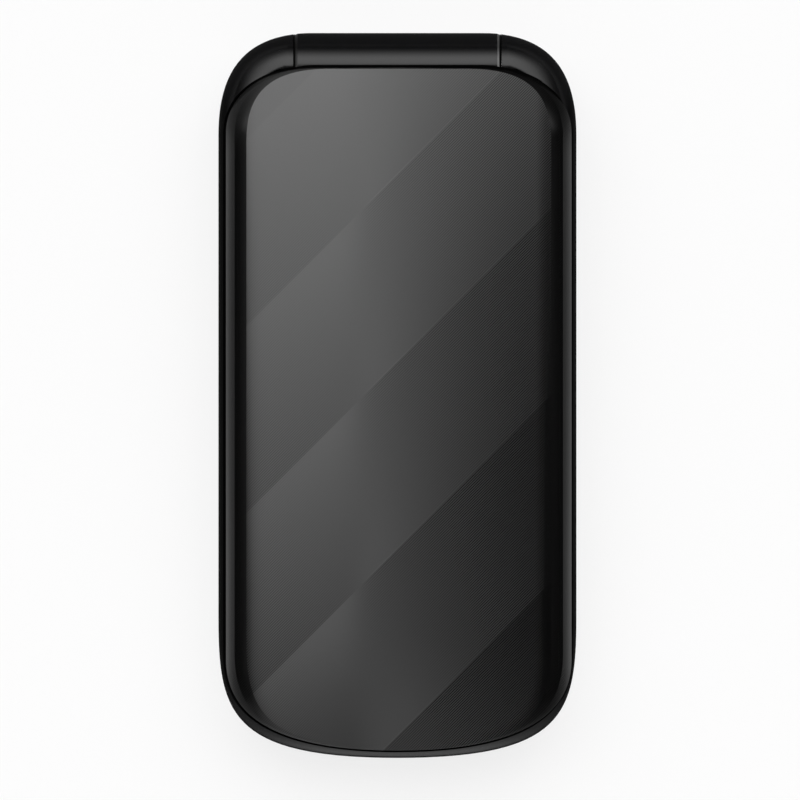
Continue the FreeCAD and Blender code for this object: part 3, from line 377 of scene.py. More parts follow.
def places(tree):
    # the point's own X, Y and Z, in millimetres
    return [axis * (1 / mm) for axis in axes(tree, "Object")]


def noise(tree, scale, detail=2.0, stretch=(1, 1, 1)):
    # noise with about `scale` grains in a millimetre, on the piece's own coordinates
    here = addNode(tree, "ShaderNodeTexCoord", {}, "Object")
    mapped = addNode(tree, "ShaderNodeMapping", {"Vector": here, "Scale": [s / mm for s in stretch]})
    return addNode(tree, "ShaderNodeTexNoise", {"Vector": mapped, "Scale": scale, "Detail": detail}, "Fac")


def uneven(grain, low, high):
    # noise, most of which lies between 0.3 and 0.7, as a range from low to high
    return ramp(grain, 0.3, 0.7, low, high)


def grey(value):
    # one number as a colour
    return addNode(value.tree, "ShaderNodeCombineColor", {n: value for n in range(3)})


def blendColour(share, first, second):
    # a mix node takes its colours on inputs 6 and 7 and gives one on output 2
    return addNode(share.tree, "ShaderNodeMix", {0: share, 6: first, 7: second}, 2, data_type="RGBA")


def relief(height, depth):
    # bumped normal: depth in millimetres for a height of 1
    return addNode(height.tree, "ShaderNodeBump", {"Strength": 1.0, "Distance": depth * mm, "Height": height})


# ---- finishes: a look is what the shader gets, under these words
shaderSockets = {
    "colour": "Base Color", "rough": "Roughness", "metal": "Metallic", "specular": "Specular IOR Level",
    "coat": "Coat Weight", "coatRough": "Coat Roughness", "coatBend": "Coat IOR", "normal": "Normal",
}


def newMaterial(name, look, *settings, **more):
    material = bpy.data.materials.new(name)
    material.use_nodes = True
    shader = material.node_tree.nodes["Principled BSDF"]
    for word, value in look(material.node_tree, *settings, **more).items():
        plug(value, shader.inputs[shaderSockets[word]])
    return material


def spread(colour, share):
    return tuple(min(1.0, c * share) for c in colour)


def plastic(tree, colour, roughness, grain=8.0, grainDepth=0.004, variation=0.15, specular=0.5):
    # moulded plastic: a little unevenness in colour and gloss, and a fine skin
    dull, bright = spread(colour, 1 - variation), spread(colour, 1 + variation)
    look = {"colour": blendColour(noise(tree, 0.25, 3.0), dull, bright), "specular": specular,
            "rough": uneven(noise(tree, 1.2), roughness * 0.9, roughness * 1.1)}
    if grainDepth:
        look["normal"] = relief(noise(tree, grain), grainDepth)
    return look


def metal(tree, colour, roughness, stretch=(1, 1, 1), grain=6.0, depth=0.002):
    # metal whose drawn or rolled grain runs across its largest stretch
    streak = noise(tree, grain, 3.0, stretch)
    return {"colour": blendColour(streak, spread(colour, 0.8), colour), "metal": 1.0,
            "rough": uneven(streak, roughness * 0.8, roughness * 1.2), "normal": relief(streak, depth)}


# ---- the lid's cover
cover = {
    "bottomZ": 15.3, "ledgeZ": 15.5, "shoulderZ": 16.3, "knee": 0.42, "kneeZ": 17.7, "topZ": 18.4,
    "lowStart": 58.0, "lowEnd": 39.0, "highStart": 29.0, "highEnd": 10.0,  # tilt of the two facets, degrees
    "lowSteps": 7, "highSteps": 11, "mostDepth": 1.15, "chinStart": -40.0, "chinDrop": 1.2, "crease": 9.0,
    # the first three on the next line place the near-black strip of painted shade round the cover's edge
    "shadowOut": 0.12, "shadowHinge": 0.1, "shadowHalf": 15.5, "barrelRoom": 0.27, "lip": 0.08, "faceIn": 0.25,
    "aside": 0.2, "asideFrom": -53.0, "asideFull": -42.0, "spine": 30.0, "capRings": 14,
}

# ---- its printed film: wide slanted bands of fine lines, under painted light: a grey that fades across and down
film = {
    # painted light: its greys at the four corners, and on the next line where and how it fades between them
    "topLeft": 0.155, "topRight": 0.058, "bottomLeft": 0.053, "bottomRight": 0.0106,
    "fadeStart": -5.5, "fadeEnd": 21.0, "fadeSoftness": 8.0, "bulgeLeft": -0.12, "bulgeRight": 1.35,
    "firstLine": -59.03, "bandWidth": 27.09, "stepBase": 0.113, "stepGrowth": 0.125,
    "turnAt": -5.5, "turnWidth": 2.3, "turnBlend": 0.1, "linePitch": 0.398, "lineBias": 0.22,
    "leftLines": {"slope": 0.045, "start": 3.0, "reach": 9.0, "swing": 0.14},
    "rightLines": {"slope": 0.085, "start": 6.0, "reach": 19.0, "swing": 0.35},
    "lineStart": 0.35, "lineGrowth": 0.8, "edgeGlow": 0.22, "edgeWidth": 0.012, "rimPower": 2.85,
    # painted shade at the face's left and right outline: its strength, its growth downwards and its width
    "leftShade": 0.1, "leftGrowth": 1.7, "leftWidth": 0.058,
    "rightShade": 0.7, "rightGrowth": 1.15, "rightWidth": 0.2,
    "chinFrom": -33.0, "chinTo": -50.0, "chinAcross": (-9.0, 4.0, -0.15, 0.2),
}


def rimShares(x, y):
    # nearness to the face's side and chin corners, 1 on its outline: the root of a sum of powers of the
    # shares of the way out to the side and to the chin; and how much of that sum is the side's
    line, power = faceLine, film["rimPower"]
    u = (abs(x - cover["aside"]) - line["flat"]) / (line["halfWidth"] - line["flat"])
    v = (y - line["sideBottom"]) / (line["chin"] - line["sideBottom"])
    u, v = (calc("MAXIMUM", share, 0.0) ** power for share in (u, v))
    both = u + v
    return calc("MINIMUM", both ** (1 / power), 1.0), calc("SQRT", u / both)


def filmLines(x, y):
    # fine slanted lines: a sine wave of x - y
    return wave(x - y, film["linePitch"])


def lineDepth(off, dark, slope, start, reach, swing):
    # depth of the fine lines: grows with the distance off the turn, from start over reach, and swings with
    # how far the place lies towards its band's dark edge
    far = calc("MINIMUM", calc("MAXIMUM", off - start, 0.0), reach)
    return calc("MAXIMUM", far * slope + dark * swing, 0.0)


def filmPrintAndPaintedLight(tree):
    # exp of: the painted light's corner greys mixed in their logarithms, the bands' saw-tooth, whose sign turns at
    # turnAt, the fine lines, and painted shade that fades it towards the two sides and the chin
    s = film
    x, y, _ = places(tree)
    u = calc("SMOOTH_MAX", x - s["fadeStart"], 0.0, s["fadeSoftness"]) / (s["fadeEnd"] - s["fadeStart"])
    down = (seamLine["hingeEnd"] - y) / (seamLine["hingeEnd"] - seamLine["chin"])
    v = down * (1.0 - down) * (u * (s["bulgeRight"] - s["bulgeLeft"]) + s["bulgeLeft"]) + down
    tl, tr, bl, br = (math.log(s[c]) for c in ("topLeft", "topRight", "bottomLeft", "bottomRight"))
    # painted light: the grey fades from the brightest at the top left to the darkest at the bottom right
    paintedLightGradient = u * (tr - tl) + v * (bl - tl) + u * v * (br - bl - tr + tl) + tl
    band = (x - y - s["firstLine"]) / s["bandWidth"]
    count, share = calc("FLOOR", band), calc("FRACT", band)
    side = calc("TANH", (x - s["turnAt"]) / s["turnWidth"])
    saw = (count * s["stepGrowth"] + s["stepBase"]) * side * (share - 0.5)
    dark, off = side * (share * -2.0 + 1.0), abs(x - s["turnAt"])
    left = lineDepth(off, dark, **s["leftLines"]) * down
    right = lineDepth(off, dark, **s["rightLines"]) * (down * s["lineGrowth"] + s["lineStart"])
    depth = mixed(ramp(side, -s["turnBlend"], s["turnBlend"]), left, right)
    lines = depth * (filmLines(x, y) - depth * s["lineBias"])
    glow = ramp(share, 1 - s["edgeWidth"], 1.0, 0.0, s["edgeGlow"]) * ramp(side, 0.0, 1.0)
    # painted shade: the face darkens towards its sides and its chin corners
    near, sides = rimShares(x, y)
    leftPaintedShade = calc("EXPONENT", (near - 1.0) / s["leftWidth"]) * (down * s["leftGrowth"] + s["leftShade"])
    rightPaintedShade = ramp(near, 1 - s["rightWidth"], 1.0) * (down * s["rightGrowth"] + s["rightShade"])
    paintedRimShade = mixed(ramp(x, -1.0, 1.0), leftPaintedShade, rightPaintedShade) * sides
    # painted light near the chin: a little darker on the left, lighter on the right
    chin = ramp(y, s["chinTo"], s["chinFrom"], 1.0, 0.0) * ramp(x, *s["chinAcross"])
    return calc("EXPONENT", paintedLightGradient + saw + lines + glow + chin - paintedRimShade)


def filmLook(tree):
    # print, with painted light, under a clear hard coat
    return {"colour": grey(filmPrintAndPaintedLight(tree)), "rough": uneven(noise(tree, 0.4), 0.3, 0.4),
            "specular": 0.0, "coat": 1.0, "coatRough": 0.07, "coatBend": 1.45}


flank = {
    "dark": 0.0003, "light": 0.003, "chinFrom": -40.0, "chinTo": -52.5, "hingeFrom": 34.0, "hingeTo": 43.0,
    "cornerFrom": -10.0, "cornerTo": 16.0, "paintedCornerLight": 0.028, "tip": (-23.5, -16.5, 0.25, 1.0),
    "outerCoat": 0.86, "kneeCoat": 0.4, "innerCoat": 0.15, "faceCoat": 0.8, "kneeSoft": 0.005,
    "cornerCoat": 0.1, "cornerCoatRight": 0.025, "coatFrom": -38.0, "coatTo": -46.0,
}


def flankLook(tree):
    # black edge of the cover with the film's fine lines, and painted light on the corner at its hinge end,
    # strongest on the left; towards the chin it takes the film's grey with its painted light; the coat that makes
    # the sides shine thins towards the knee, starts again above it, and is thin at both ends
    s, knee = flank, cover["kneeZ"]
    x, y, z = places(tree)
    chin = ramp(y, s["chinTo"], s["chinFrom"], 1.0, 0.0)
    hinge = ramp(y, s["hingeFrom"], s["hingeTo"])
    # painted light on the hinge-end corners: strongest on the left, gone towards the right, and weaker at the far
    # left tip
    corner = hinge * ramp(x, s["cornerFrom"], s["cornerTo"], s["paintedCornerLight"], 0.0) * ramp(x, *s["tip"])
    lines = (filmLines(x, y) * 0.5 + 0.5) * (s["light"] - s["dark"]) + s["dark"]
    ends = calc("MAXIMUM", hinge, ramp(y, s["coatTo"], s["coatFrom"], 1.0, 0.0))
    below = ramp(z, cover["shoulderZ"], knee, s["outerCoat"], s["kneeCoat"])
    above = ramp(z, knee, cover["topZ"], s["innerCoat"], s["faceCoat"])
    coat = mixed(ramp(z, knee - s["kneeSoft"], knee + s["kneeSoft"]), below, above)
    endCoat = ramp(x, s["cornerFrom"], s["cornerTo"], s["cornerCoat"], s["cornerCoatRight"])
    return {"colour": grey(filmPrintAndPaintedLight(tree) * chin + lines + corner), "rough": 0.6, "specular": 0.03,
            "coat": mixed(ends, coat, endCoat), "coatRough": 0.1, "coatBend": 1.5}


def shellBlack(tree, rough, coat, share=None):
    # soft black under a clear coat: its roughness, the coat's weight, and how much of its colour is left
    mist = noise(tree, 0.5)
    colour = blendColour(mist, (0.0026, 0.0026, 0.0028), (0.0046, 0.0046, 0.0049))
    if share:
        colour = blendColour(share, (0.0, 0.0, 0.0), colour)
    return {"colour": colour, "rough": rough + uneven(mist, -0.03, 0.03), "coat": coat, "specular": 0.03,
            "coatRough": 0.13, "coatBend": 1.5, "normal": relief(noise(tree, 7.0), 0.0008)}


# depth below the crest where the coat starts and where it is full, and its weight there
crest = {"middle": (1.35, 0.45, 0.52), "corner": (1.75, 0.1, 0.42), "cornerFrom": 15.5, "cornerTo": 20.0}


def crestCoat(x, z):
    # the coat's share rises towards the crest, more slowly and less far in the two corners
    middle, corner = (ramp(z, phone["frameTop"] - start, phone["frameTop"] - full, 0.0, most)
                      for start, full, most in (crest["middle"], crest["corner"]))
    return mixed(ramp(abs(x), crest["cornerFrom"], crest["cornerTo"]), middle, corner)


# each entry: from, to, and the values there
frameLooks = {
    "wall": (12.0, 13.2, 0.32, 0.012), "lip": (14.1, 15.7),
    "chinAcross": (9.0, 26.5, 0.73, 0.02), "chinAlong": (-46.0, -38.0, 1.0, 0.0),
    "rough": (12.2, 13.4, 0.6, 0.9),
    "wallColour": (12.2, 13.4, 1.0, 0.0), "stripPaintedShade": (24.3, 25.2, 1.0, 0.12),
}


def frameLook(tree):
    # gloss on the crest, the chin's lip and the wall; the shoulder between them is nearly matte, and the
    # strips beside the cover carry painted shade that takes them close to black
    s = frameLooks
    x, y, z = places(tree)
    chin = ramp(abs(x), *s["chinAcross"]) * ramp(y, *s["chinAlong"]) * ramp(z, *s["lip"])
    coat = calc("MAXIMUM", chin, calc("MAXIMUM", ramp(z, *s["wall"]), crestCoat(x, z)))
    # painted shade: the black is cut to 0.12 of itself on the strips beside the cover's sides, above the wall
    share = calc("MAXIMUM", ramp(z, *s["wallColour"]), ramp(abs(x), *s["stripPaintedShade"]))
    return shellBlack(tree, ramp(z, *s["rough"]), coat, share)


def fasciaLook(tree):
    # the keypad's face in piano black, and the hinge barrel finished as the lid's frame is
    x, _, z = places(tree)
    above = z - phone["baseTop"]
    coat = calc("MAXIMUM", ramp(above, 0.1, 1.2, 0.45, 0.012), crestCoat(x, z))
    return shellBlack(tree, ramp(above, 0.1, 0.8, 0.4, 0.9), coat)


# the barrel's bevelled ends, and where their painted shade and highlight lie and how strong they are
barrelEnd = {
    "x": 14.9, "bevel": 0.42, "drop": 0.14, "slotShadeFrom": 14.73, "slotShadeTo": 14.79, "least": 0.001,
    "highlightFrom": 50.6, "highlightTo": 48.4, "left": (0.004, 0.03), "right": (0.035, 0.095),
}


def paintedEdgeLightLook(tree):
    # end of the barrel: painted shade, black beside the slot, then a painted highlight on the edge, brighter to
    # the right and near the cover
    s = barrelEnd
    x, y, _ = places(tree)
    # painted highlight on the bevel: brighter towards the cover and on the right
    inner = ramp(y, s["highlightFrom"], s["highlightTo"])
    (leftBase, leftRise), (rightBase, rightRise) = s["left"], s["right"]
    light = ramp(x, -1.0, 1.0) * (inner * rightRise + rightBase) + (inner * leftRise + leftBase)
    # painted shade: black next to the slot
    light = light * ramp(abs(x), s["slotShadeFrom"], s["slotShadeTo"], 1.0, 0.0)
    return {"colour": grey(light + s["least"]), "specular": 0.05, "rough": 0.5}


def gapShadowLook(tree):
    # near-black strip with close to no reflection: painted shade that fills the gaps round the cover and the
    # hinge's slots
    return {"colour": grey(uneven(noise(tree, 3.0, 3.0), 0.0006, 0.0014)), "rough": 0.9, "specular": 0.02}


display = {"halfWidth": 18.6, "low": -34.5, "high": 15.5, "dotPitch": 0.16}


def windowLook(tree):
    # black print round the display, and the dark panel showing through the clear part
    s = display
    x, y, _ = places(tree)
    view = between(x, -s["halfWidth"], s["halfWidth"]) * between(y, s["low"], s["high"])
    dots = ramp(wave(x, s["dotPitch"]) * wave(y, s["dotPitch"]), -1.0, 1.0)
    panel = blendColour(dots, (0.010, 0.011, 0.013), (0.017, 0.018, 0.022))
    return {"colour": blendColour(view, (0.0015, 0.0015, 0.0018), panel),
            "rough": ramp(view, 0.0, 1.0, 0.05, 0.08)}


def cloth(tree, pitch, dark, light):
    # woven cloth: two sine waves across each other, raised where the threads cross over
    x, y, _ = places(tree)
    weave = wave(x, pitch) * wave(y, pitch)
    return {"colour": blendColour(ramp(weave, -1.0, 1.0), dark, light), "rough": 0.7,
            "normal": relief(weave, 0.03)}


def boardLook(tree):
    # solder mask with copper runs under it: thin bands where a stretched noise crosses its middle
    along, across = (abs(noise(tree, 0.35, 1.0, stretch) - 0.5) for stretch in ((1, 3, 1), (3, 1, 1)))
    copper = ramp(calc("MINIMUM", along, across), 0.008, 0.014, 1.0, 0.0)
    return {"colour": blendColour(copper, (0.008, 0.055, 0.022), (0.03, 0.14, 0.05)),
            "rough": uneven(noise(tree, 2.0), 0.28, 0.36), "normal": relief(copper, 0.02)}


def ribbonLook(tree, pitch=0.5):
    # amber film over copper tracks that run along it
    tracks = wave(places(tree)[0], pitch)
    return {"colour": blendColour(ramp(tracks, -0.2, 0.3), (0.16, 0.05, 0.008), (0.42, 0.17, 0.03)),
            "rough": uneven(noise(tree, 1.0), 0.25, 0.35), "normal": relief(tracks, 0.01)}


def batteryLook(tree, side=2.0, closedEnd=4.0, contactEnd=9.0, stripWidth=6.1):
    # foil sleeve with a printed panel, inset from its sides and ends, and a darker strip at the contacts' end
    x, y, _ = places(tree)
    low, high = nodeBox("battery")
    panel = between(x, low[0] + side, high[0] - side) * between(y, low[1] + closedEnd, high[1] - contactEnd)
    foil = blendColour(noise(tree, 3.0, 4.0, (0.2, 2, 1)), (0.30, 0.31, 0.33), (0.38, 0.39, 0.41))
    tinted = blendColour(panel, foil, (0.62, 0.62, 0.61))
    strip = ramp(y, high[1] - stripWidth, high[1] - stripWidth + 0.1)
    return {"colour": blendColour(strip, tinted, (0.03, 0.03, 0.032)),
            "rough": ramp(panel, 0.0, 1.0, 0.32, 0.5), "normal": relief(noise(tree, 0.5, 3.0), 0.03)}


def foilLook(tree, flatTop=7.03, domeTop=7.08):
    # dome sheet: white film, silver where a metal dome lifts it
    raised = ramp(places(tree)[2], flatTop, domeTop)
    return {"colour": blendColour(raised, (0.6, 0.6, 0.58), (0.75, 0.73, 0.66)),
            "rough": ramp(raised, 0.0, 1.0, 0.45, 0.25), "normal": relief(noise(tree, 4.0), 0.004)}


def antennaLook(tree, pitch=8.0):
    # moulded carrier with bright pressed foil in slanting strips
    x, y, _ = places(tree)
    foil = between(calc("FRACT", (abs(x) + y * 0.6) * (1 / pitch)), 0.2, 0.7, 0.01)
    return {"colour": blendColour(foil, (0.36, 0.36, 0.36), (0.55, 0.42, 0.22)),
            "rough": ramp(foil, 0.0, 1.0, 0.55, 0.3), "normal": relief(foil, 0.03)}


port = {"tongueHalf": 2.9, "tongueLow": 4.3, "tongueHigh": 5.4, "mouth": (-52.0, -51.9), "contactPitch": 0.65}


def portLook(tree):
    # charging socket: bright shell, black tongue with gold contacts
    s, soft = port, 0.02
    x, y, z = places(tree)
    tongue = between(x, -s["tongueHalf"], s["tongueHalf"], soft) * (
        between(z, s["tongueLow"], s["tongueHigh"], soft) * ramp(y, *s["mouth"]))
    stripes = ramp(calc("COSINE", x * (2 * math.pi / s["contactPitch"])), 0.35, 0.45)
    contacts = blendColour(stripes, (0.01, 0.01, 0.01), (0.75, 0.52, 0.2))
    return {"colour": blendColour(tongue, (0.62, 0.62, 0.64), contacts),
            "metal": ramp(tongue, 0.0, 1.0, 1.0, 0.3),
            "rough": uneven(noise(tree, 4.0, 2.0, (1, 0.1, 1)), 0.2, 0.32)}


# bezel, inner and steps are points: how far out from the seat, the glass and the well, and how high
lens = {
    "x": 11.5, "y": 31.5, "back": 0.95, "seat": 3.6, "bezel": ((0, 0.12), (-0.05, 0.06), (-0.15, 0.03)),
    "glassRadius": 2.85, "inner": ((0.2, 0.03), (0.07, 0.06), (0, 0.14)), "glass": 0.3,
    "well": 1.35, "steps": ((0.9, 0), (0.6, 0.12), (0.35, 0.12), (0.1, 0.3)), "wellDepth": 0.55,
    "bulge": 0.3, "domeSteps": 7, "count": 64,
}


def lensLook(tree):
    # coated glass: a painted violet sheen that deepens to blue away from its middle
    x, y, _ = places(tree)
    dx, dy = x - lens["x"], y - lens["y"]
    away = calc("SQRT", dx * dx + dy * dy)
    return {"colour": blendColour(ramp(away, 0.1, 1.1), (0.035, 0.012, 0.05), (0.003, 0.006, 0.02)),
            "rough": 0.03, "coat": 0.6, "coatRough": 0.02}


finishes = {
    "film": newMaterial("cover_film_painted_light", filmLook),
    "flank": newMaterial("cover_flank", flankLook),
    "frame": newMaterial("frame_black", frameLook),
    "fascia": newMaterial("fascia_black", fasciaLook),
    "gapShadow": newMaterial("gap_shadow_black", gapShadowLook),
    "paintedEdgeLight": newMaterial("edge_painted_light", paintedEdgeLightLook),
    "satin": newMaterial("black_satin", plastic, (0.010, 0.010, 0.0108), 0.42, 9.0, 0.003),
    "matte": newMaterial("black_matte", plastic, (0.014, 0.014, 0.0148), 0.55, 5.0, 0.012, specular=0.4),
    "window": newMaterial("window_black", windowLook),
    "lcd": newMaterial("lcd_glass", plastic, (0.05, 0.055, 0.06), 0.08, 3.0, 0.0, 0.1),
    "darkMetal": newMaterial("dark_metal", metal, (0.3, 0.3, 0.31), 0.35),
    "cloth": newMaterial("mesh_black", cloth, 0.3, (0.006, 0.006, 0.006), (0.06, 0.06, 0.062)),
    "steel": newMaterial("steel", metal, (0.58, 0.58, 0.59), 0.28, (1, 0.15, 1)),
    "rubber": newMaterial("soft_black", plastic, (0.018, 0.018, 0.018), 0.7, 6.0, 0.006, 0.25, specular=0.3),
    "silicone": newMaterial("silicone", plastic, (0.22, 0.23, 0.24), 0.5, 4.0, 0.004, 0.1, specular=0.4),
    "ribbon": newMaterial("ribbon_amber", ribbonLook),
    "battery": newMaterial("battery_grey", batteryLook),
    "nylon": newMaterial("connector_black", plastic, (0.022, 0.022, 0.022), 0.5, 8.0, 0.006, 0.2),
    "board": newMaterial("board_green", boardLook),
    "foil": newMaterial("foil_white", foilLook),
    "antenna": newMaterial("carrier_grey", antennaLook),
    "navMetal": newMaterial("nav_metal", metal, (0.17, 0.17, 0.18), 0.24, (0.1, 1, 1), 8.0, 0.001),
    "key": newMaterial("key_black", plastic, (0.016, 0.016, 0.017), 0.3, 9.0, 0.0006),
    "port": newMaterial("port_metal", portLook),
    "lens": newMaterial("lens_glass", lensLook),
    "ink": newMaterial("ink_white", plastic, (0.72, 0.72, 0.70), 0.5, 12.0, 0.001, 0.05),
    "darkInk": newMaterial("ink_black", plastic, (0.006, 0.006, 0.006), 0.5, 12.0, 0.001, 0.1),
    "green": newMaterial("ink_green", plastic, (0.03, 0.36, 0.07), 0.5, 12.0, 0.002, 0.08),
    "red": newMaterial("ink_red", plastic, (0.55, 0.025, 0.02), 0.5, 12.0, 0.002, 0.08),
}
print("materials made")


def facet(start, end, tiltStart, tiltEnd, run, steps):
    # arc between two (share, height) points that leaves and arrives at the given tilts, over a real run in mm
    a, b = math.tan(math.radians(tiltStart)), math.tan(math.radians(tiltEnd))
    length = (end[0] - start[0]) * run
    x = (end[1] - start[1] - b * length) / (a - b)
    return arcBetween(start, (start[0] + x / run, start[1] + a * x), end, steps)


def aside(points):
    # the cover sits a little to the right of the middle, less so at the chin
    points = points.copy()
    points[:, 0] += cover["aside"] * smoothStep(points[:, 1], cover["asideFrom"], cover["asideFull"])
    return points


def makeCover():
    # a profile of (share of the way from edge to face, height) carried round, then a cap and a flat back;
    # the profile is shallower where the facets narrow, and the face falls as a parabola towards the chin
    s = cover
    edge, face = planLoop(coverLine), planLoop(faceLine)
    # the cover's underside, ledge and lip over the barrel are near-black: painted shade for the gap round the
    # cover
    gapShadow = planLoop(seamLine, -s["shadowOut"])
    gapShadow[:, 1] += s["shadowHinge"] * smoothStep(s["shadowHalf"] - abs(gapShadow[:, 0]), 0, 1) * (gapShadow[:, 1] > axisY)
    run = coverLine["halfWidth"] - faceLine["halfWidth"]
    depth = np.clip(np.linalg.norm(face - edge, axis=1) / run, 0, s["mostDepth"])

    def level(y):
        fall = np.clip((s["chinStart"] - y) / (s["chinStart"] - coverLine["chin"]), 0, 1)
        return s["topZ"] - s["chinDrop"] * fall ** 2

    def clear(ring, z, above=0.0):
        # raised where needed to clear the hinge barrel
        room = barrelRadius + s["barrelRoom"]
        low = axisZ + np.sqrt(np.maximum(0, room ** 2 - (axisY - ring[:, 1]) ** 2)) + above
        over = ring[:, 1] > axisY - room
        return np.column_stack([ring, np.where(over, np.maximum(z, low), z)])

    def shrink(loop, height, shares):
        # rings from a loop to the line x = 0
        middle = np.column_stack([np.zeros(len(loop)), np.clip(loop[:, 1], -s["spine"], s["spine"])])
        rings = [loop + (middle - loop) * t for t in shares]
        return [clear(ring, height(ring[:, 1])) for ring in rings]

    flankKind, faceKind, gapShadowKind = 0, 1, 2
    shares = np.linspace(0, 1, s["capRings"] + 1)
    loops = shrink(gapShadow, lambda y: s["bottomZ"], shares[::-1])
    kinds = [gapShadowKind] * (len(loops) + 1) + [flankKind]
    loops += [clear(gapShadow, s["ledgeZ"], s["lip"]), clear(edge, s["ledgeZ"], s["lip"])]
    shoulder, knee, top = (0, s["shoulderZ"]), (s["knee"], s["kneeZ"]), (1, s["topZ"])
    lower = facet(shoulder, knee, s["lowStart"], s["lowEnd"], run, s["lowSteps"])
    upper = facet(knee, top, s["highStart"], s["highEnd"], run, s["highSteps"])
    for share, z in np.vstack([lower, upper[1:]]):
        ring = edge + (face - edge) * share
        loops.append(clear(ring, level(ring[:, 1]) - (s["topZ"] - z) * depth))
        kinds.append(flankKind)
    kinds[-1] = faceKind
    faceRings = shrink(face - loopNormals(face) * s["faceIn"], level, shares)
    kinds += [faceKind] * (len(faceRings) - 1)
    loops = [aside(loop) for loop in loops + faceRings]
    makePiece("cover", [loopStack(loops, kinds)], [finishes["flank"], finishes["film"], finishes["gapShadow"]],
              crease=s["crease"], body="lid", replaces=["lid_cover"])


makeCover()
print("cover made")

# ---- shells: the CAD solids with their doubles merged and the true normals of their rounded surfaces
shellSmoothing = {
    "patchAngle": 32.0, "rolledAngle": 25.0, "touch": 0.03, "leastPlane": 40.0,  # degrees, mm and square mm
    "slack": 0.004, "behind": 0.02,  # shares of a rolled edge's radius
    "normalSteps": 200, "offsetSteps": 20, "batch": 1500,
}
denseOutline = planLoop(phone, corner=200, chin=300, side=60, end=60)
denseNormals = loopNormals(denseOutline)


def nearestOutline(points):
    # for each point its distance inside the outline and the outline's outward normal there
    inset, normal, batch = np.empty(len(points)), np.empty((len(points), 2)), shellSmoothing["batch"]
    for start in range(0, len(points), batch):
        part = points[start:start + batch, None, :2]
        nearest = ((part - denseOutline[None]) ** 2).sum(2).argmin(1)
        away = denseOutline[nearest] - part[:, 0]
        normal[start:start + batch] = denseNormals[nearest]
        inset[start:start + batch] = (away * denseNormals[nearest]).sum(1)
    return inset, normal


def roundedNormals(points):
    # candidate normals: outer wall, three rolled edges and the barrel, each valid only on its own surface
    s = shellSmoothing
    inset, plan = nearestOutline(points)
    z, touch = points[:, 2], s["touch"]
    candidates = [(np.column_stack([plan, np.zeros(len(points))]), abs(inset) < touch)]
    for radius, centre, way in ((phone["frameRadius"], phone["frameTop"] - phone["frameRadius"], 1),
                                (phone["rimRadius"], phone["baseTop"] - phone["rimRadius"], 1),
                                (phone["backRadius"], phone["backRadius"], -1)):
        out = (radius - inset) / radius
        up = (z - centre) / radius * way
        length = np.maximum(np.hypot(out, up), 1e-6)
        onSurface = (abs(length - 1) < touch / radius + s["slack"]) & (np.minimum(out, up) > -s["behind"])
        candidates.append((np.column_stack([plan * (out / length)[:, None], way * up / length]), onSurface))
    dy, dz = points[:, 1] - axisY, z - axisZ
    reach = np.maximum(np.hypot(dy, dz), 1e-6)
    radial = np.column_stack([np.zeros(len(points)), dy / reach, dz / reach])
    candidates.append((radial, abs(reach - barrelRadius) < touch))
    return candidates


def corners(mesh):
    # the vertex and the face of every face corner
    sizes = fetch(mesh.polygons, "loop_total", 1, np.int32)
    return fetch(mesh.loops, "vertex_index", 1, np.int32), np.repeat(np.arange(len(sizes)), sizes)


def mergedCopy(node, name, material):
    # a CAD node's mesh as a new object with its loose triangles joined
    mesh = frame["nodes"][node].data.copy()
    mesh.name = name
    with reworked(mesh) as work:
        bmesh.ops.remove_doubles(work, verts=work.verts, dist=1e-6)
    mesh.materials.clear()
    mesh.materials.append(material)
    mesh.polygons.foreach_set("material_index", np.zeros(len(mesh.polygons), np.int32))
    mesh.polygons.foreach_set("use_smooth", np.ones(len(mesh.polygons), bool))
    return addObject(name, mesh)


def weightedNormals(piece, angle):
    # corner normals averaged by face area within each smooth patch
    piece.data.set_sharp_from_angle(angle=math.radians(angle))
    modifier = piece.modifiers.new("weighted", "WEIGHTED_NORMAL")
    modifier.mode, modifier.keep_sharp, modifier.weight = "FACE_AREA", True, 50
    evaluated = piece.evaluated_get(bpy.context.evaluated_depsgraph_get())
    normals = fetch(evaluated.to_mesh().corner_normals, "vector")
    evaluated.to_mesh_clear()
    piece.modifiers.remove(modifier)
    return normals


def bevelBarrel(mesh):
    # a ring of edges cut round the hinge barrel near each end, and the end circle drawn in by the same width
    near, flat = 0.02, 0.2
    bevel, drop, reach = barrelEnd["bevel"], barrelEnd["drop"], barrelRadius + near
    mesh.materials.append(finishes["paintedEdgeLight"])

    def fromAxis(point):
        # side, place across, and distance from the hinge axis, in millimetres
        x, y, z = point / mm
        return x, (y - axisY, z - axisZ), math.hypot(y - axisY, z - axisZ)

    def onBarrel(vertex):
        x, _, away = fromAxis(vertex.co)
        return abs(x) < barrelEnd["x"] + near and away < reach

    with reworked(mesh) as work:
        for side in (-1, 1):
            faces = [f for f in work.faces if all(onBarrel(v) for v in f.verts)]
            edges, points = {e for f in faces for e in f.edges}, {v for f in faces for v in f.verts}
            bmesh.ops.bisect_plane(work, geom=[*faces, *edges, *points], dist=1e-7, plane_no=(1, 0, 0),
                                   plane_co=(side * (barrelEnd["x"] - bevel) * mm, 0, 0))
        for vertex in work.verts:
            x, (dy, dz), away = fromAxis(vertex.co)
            if abs(abs(x) - barrelEnd["x"]) < near and abs(away - barrelRadius) < near:
                share = (away - drop) / away
                vertex.co = (vertex.co.x, (axisY + dy * share) * mm, (axisZ + dz * share) * mm)
        work.normal_update()
        # the bevel's faces take the painted edge highlight and shade
        for face in work.faces:
            x, _, away = fromAxis(face.calc_center_median())
            inBevel = barrelEnd["x"] - bevel < abs(x) < barrelEnd["x"] - near / 2
            if inBevel and barrelRadius - flat < away < reach:
                face.material_index = 1


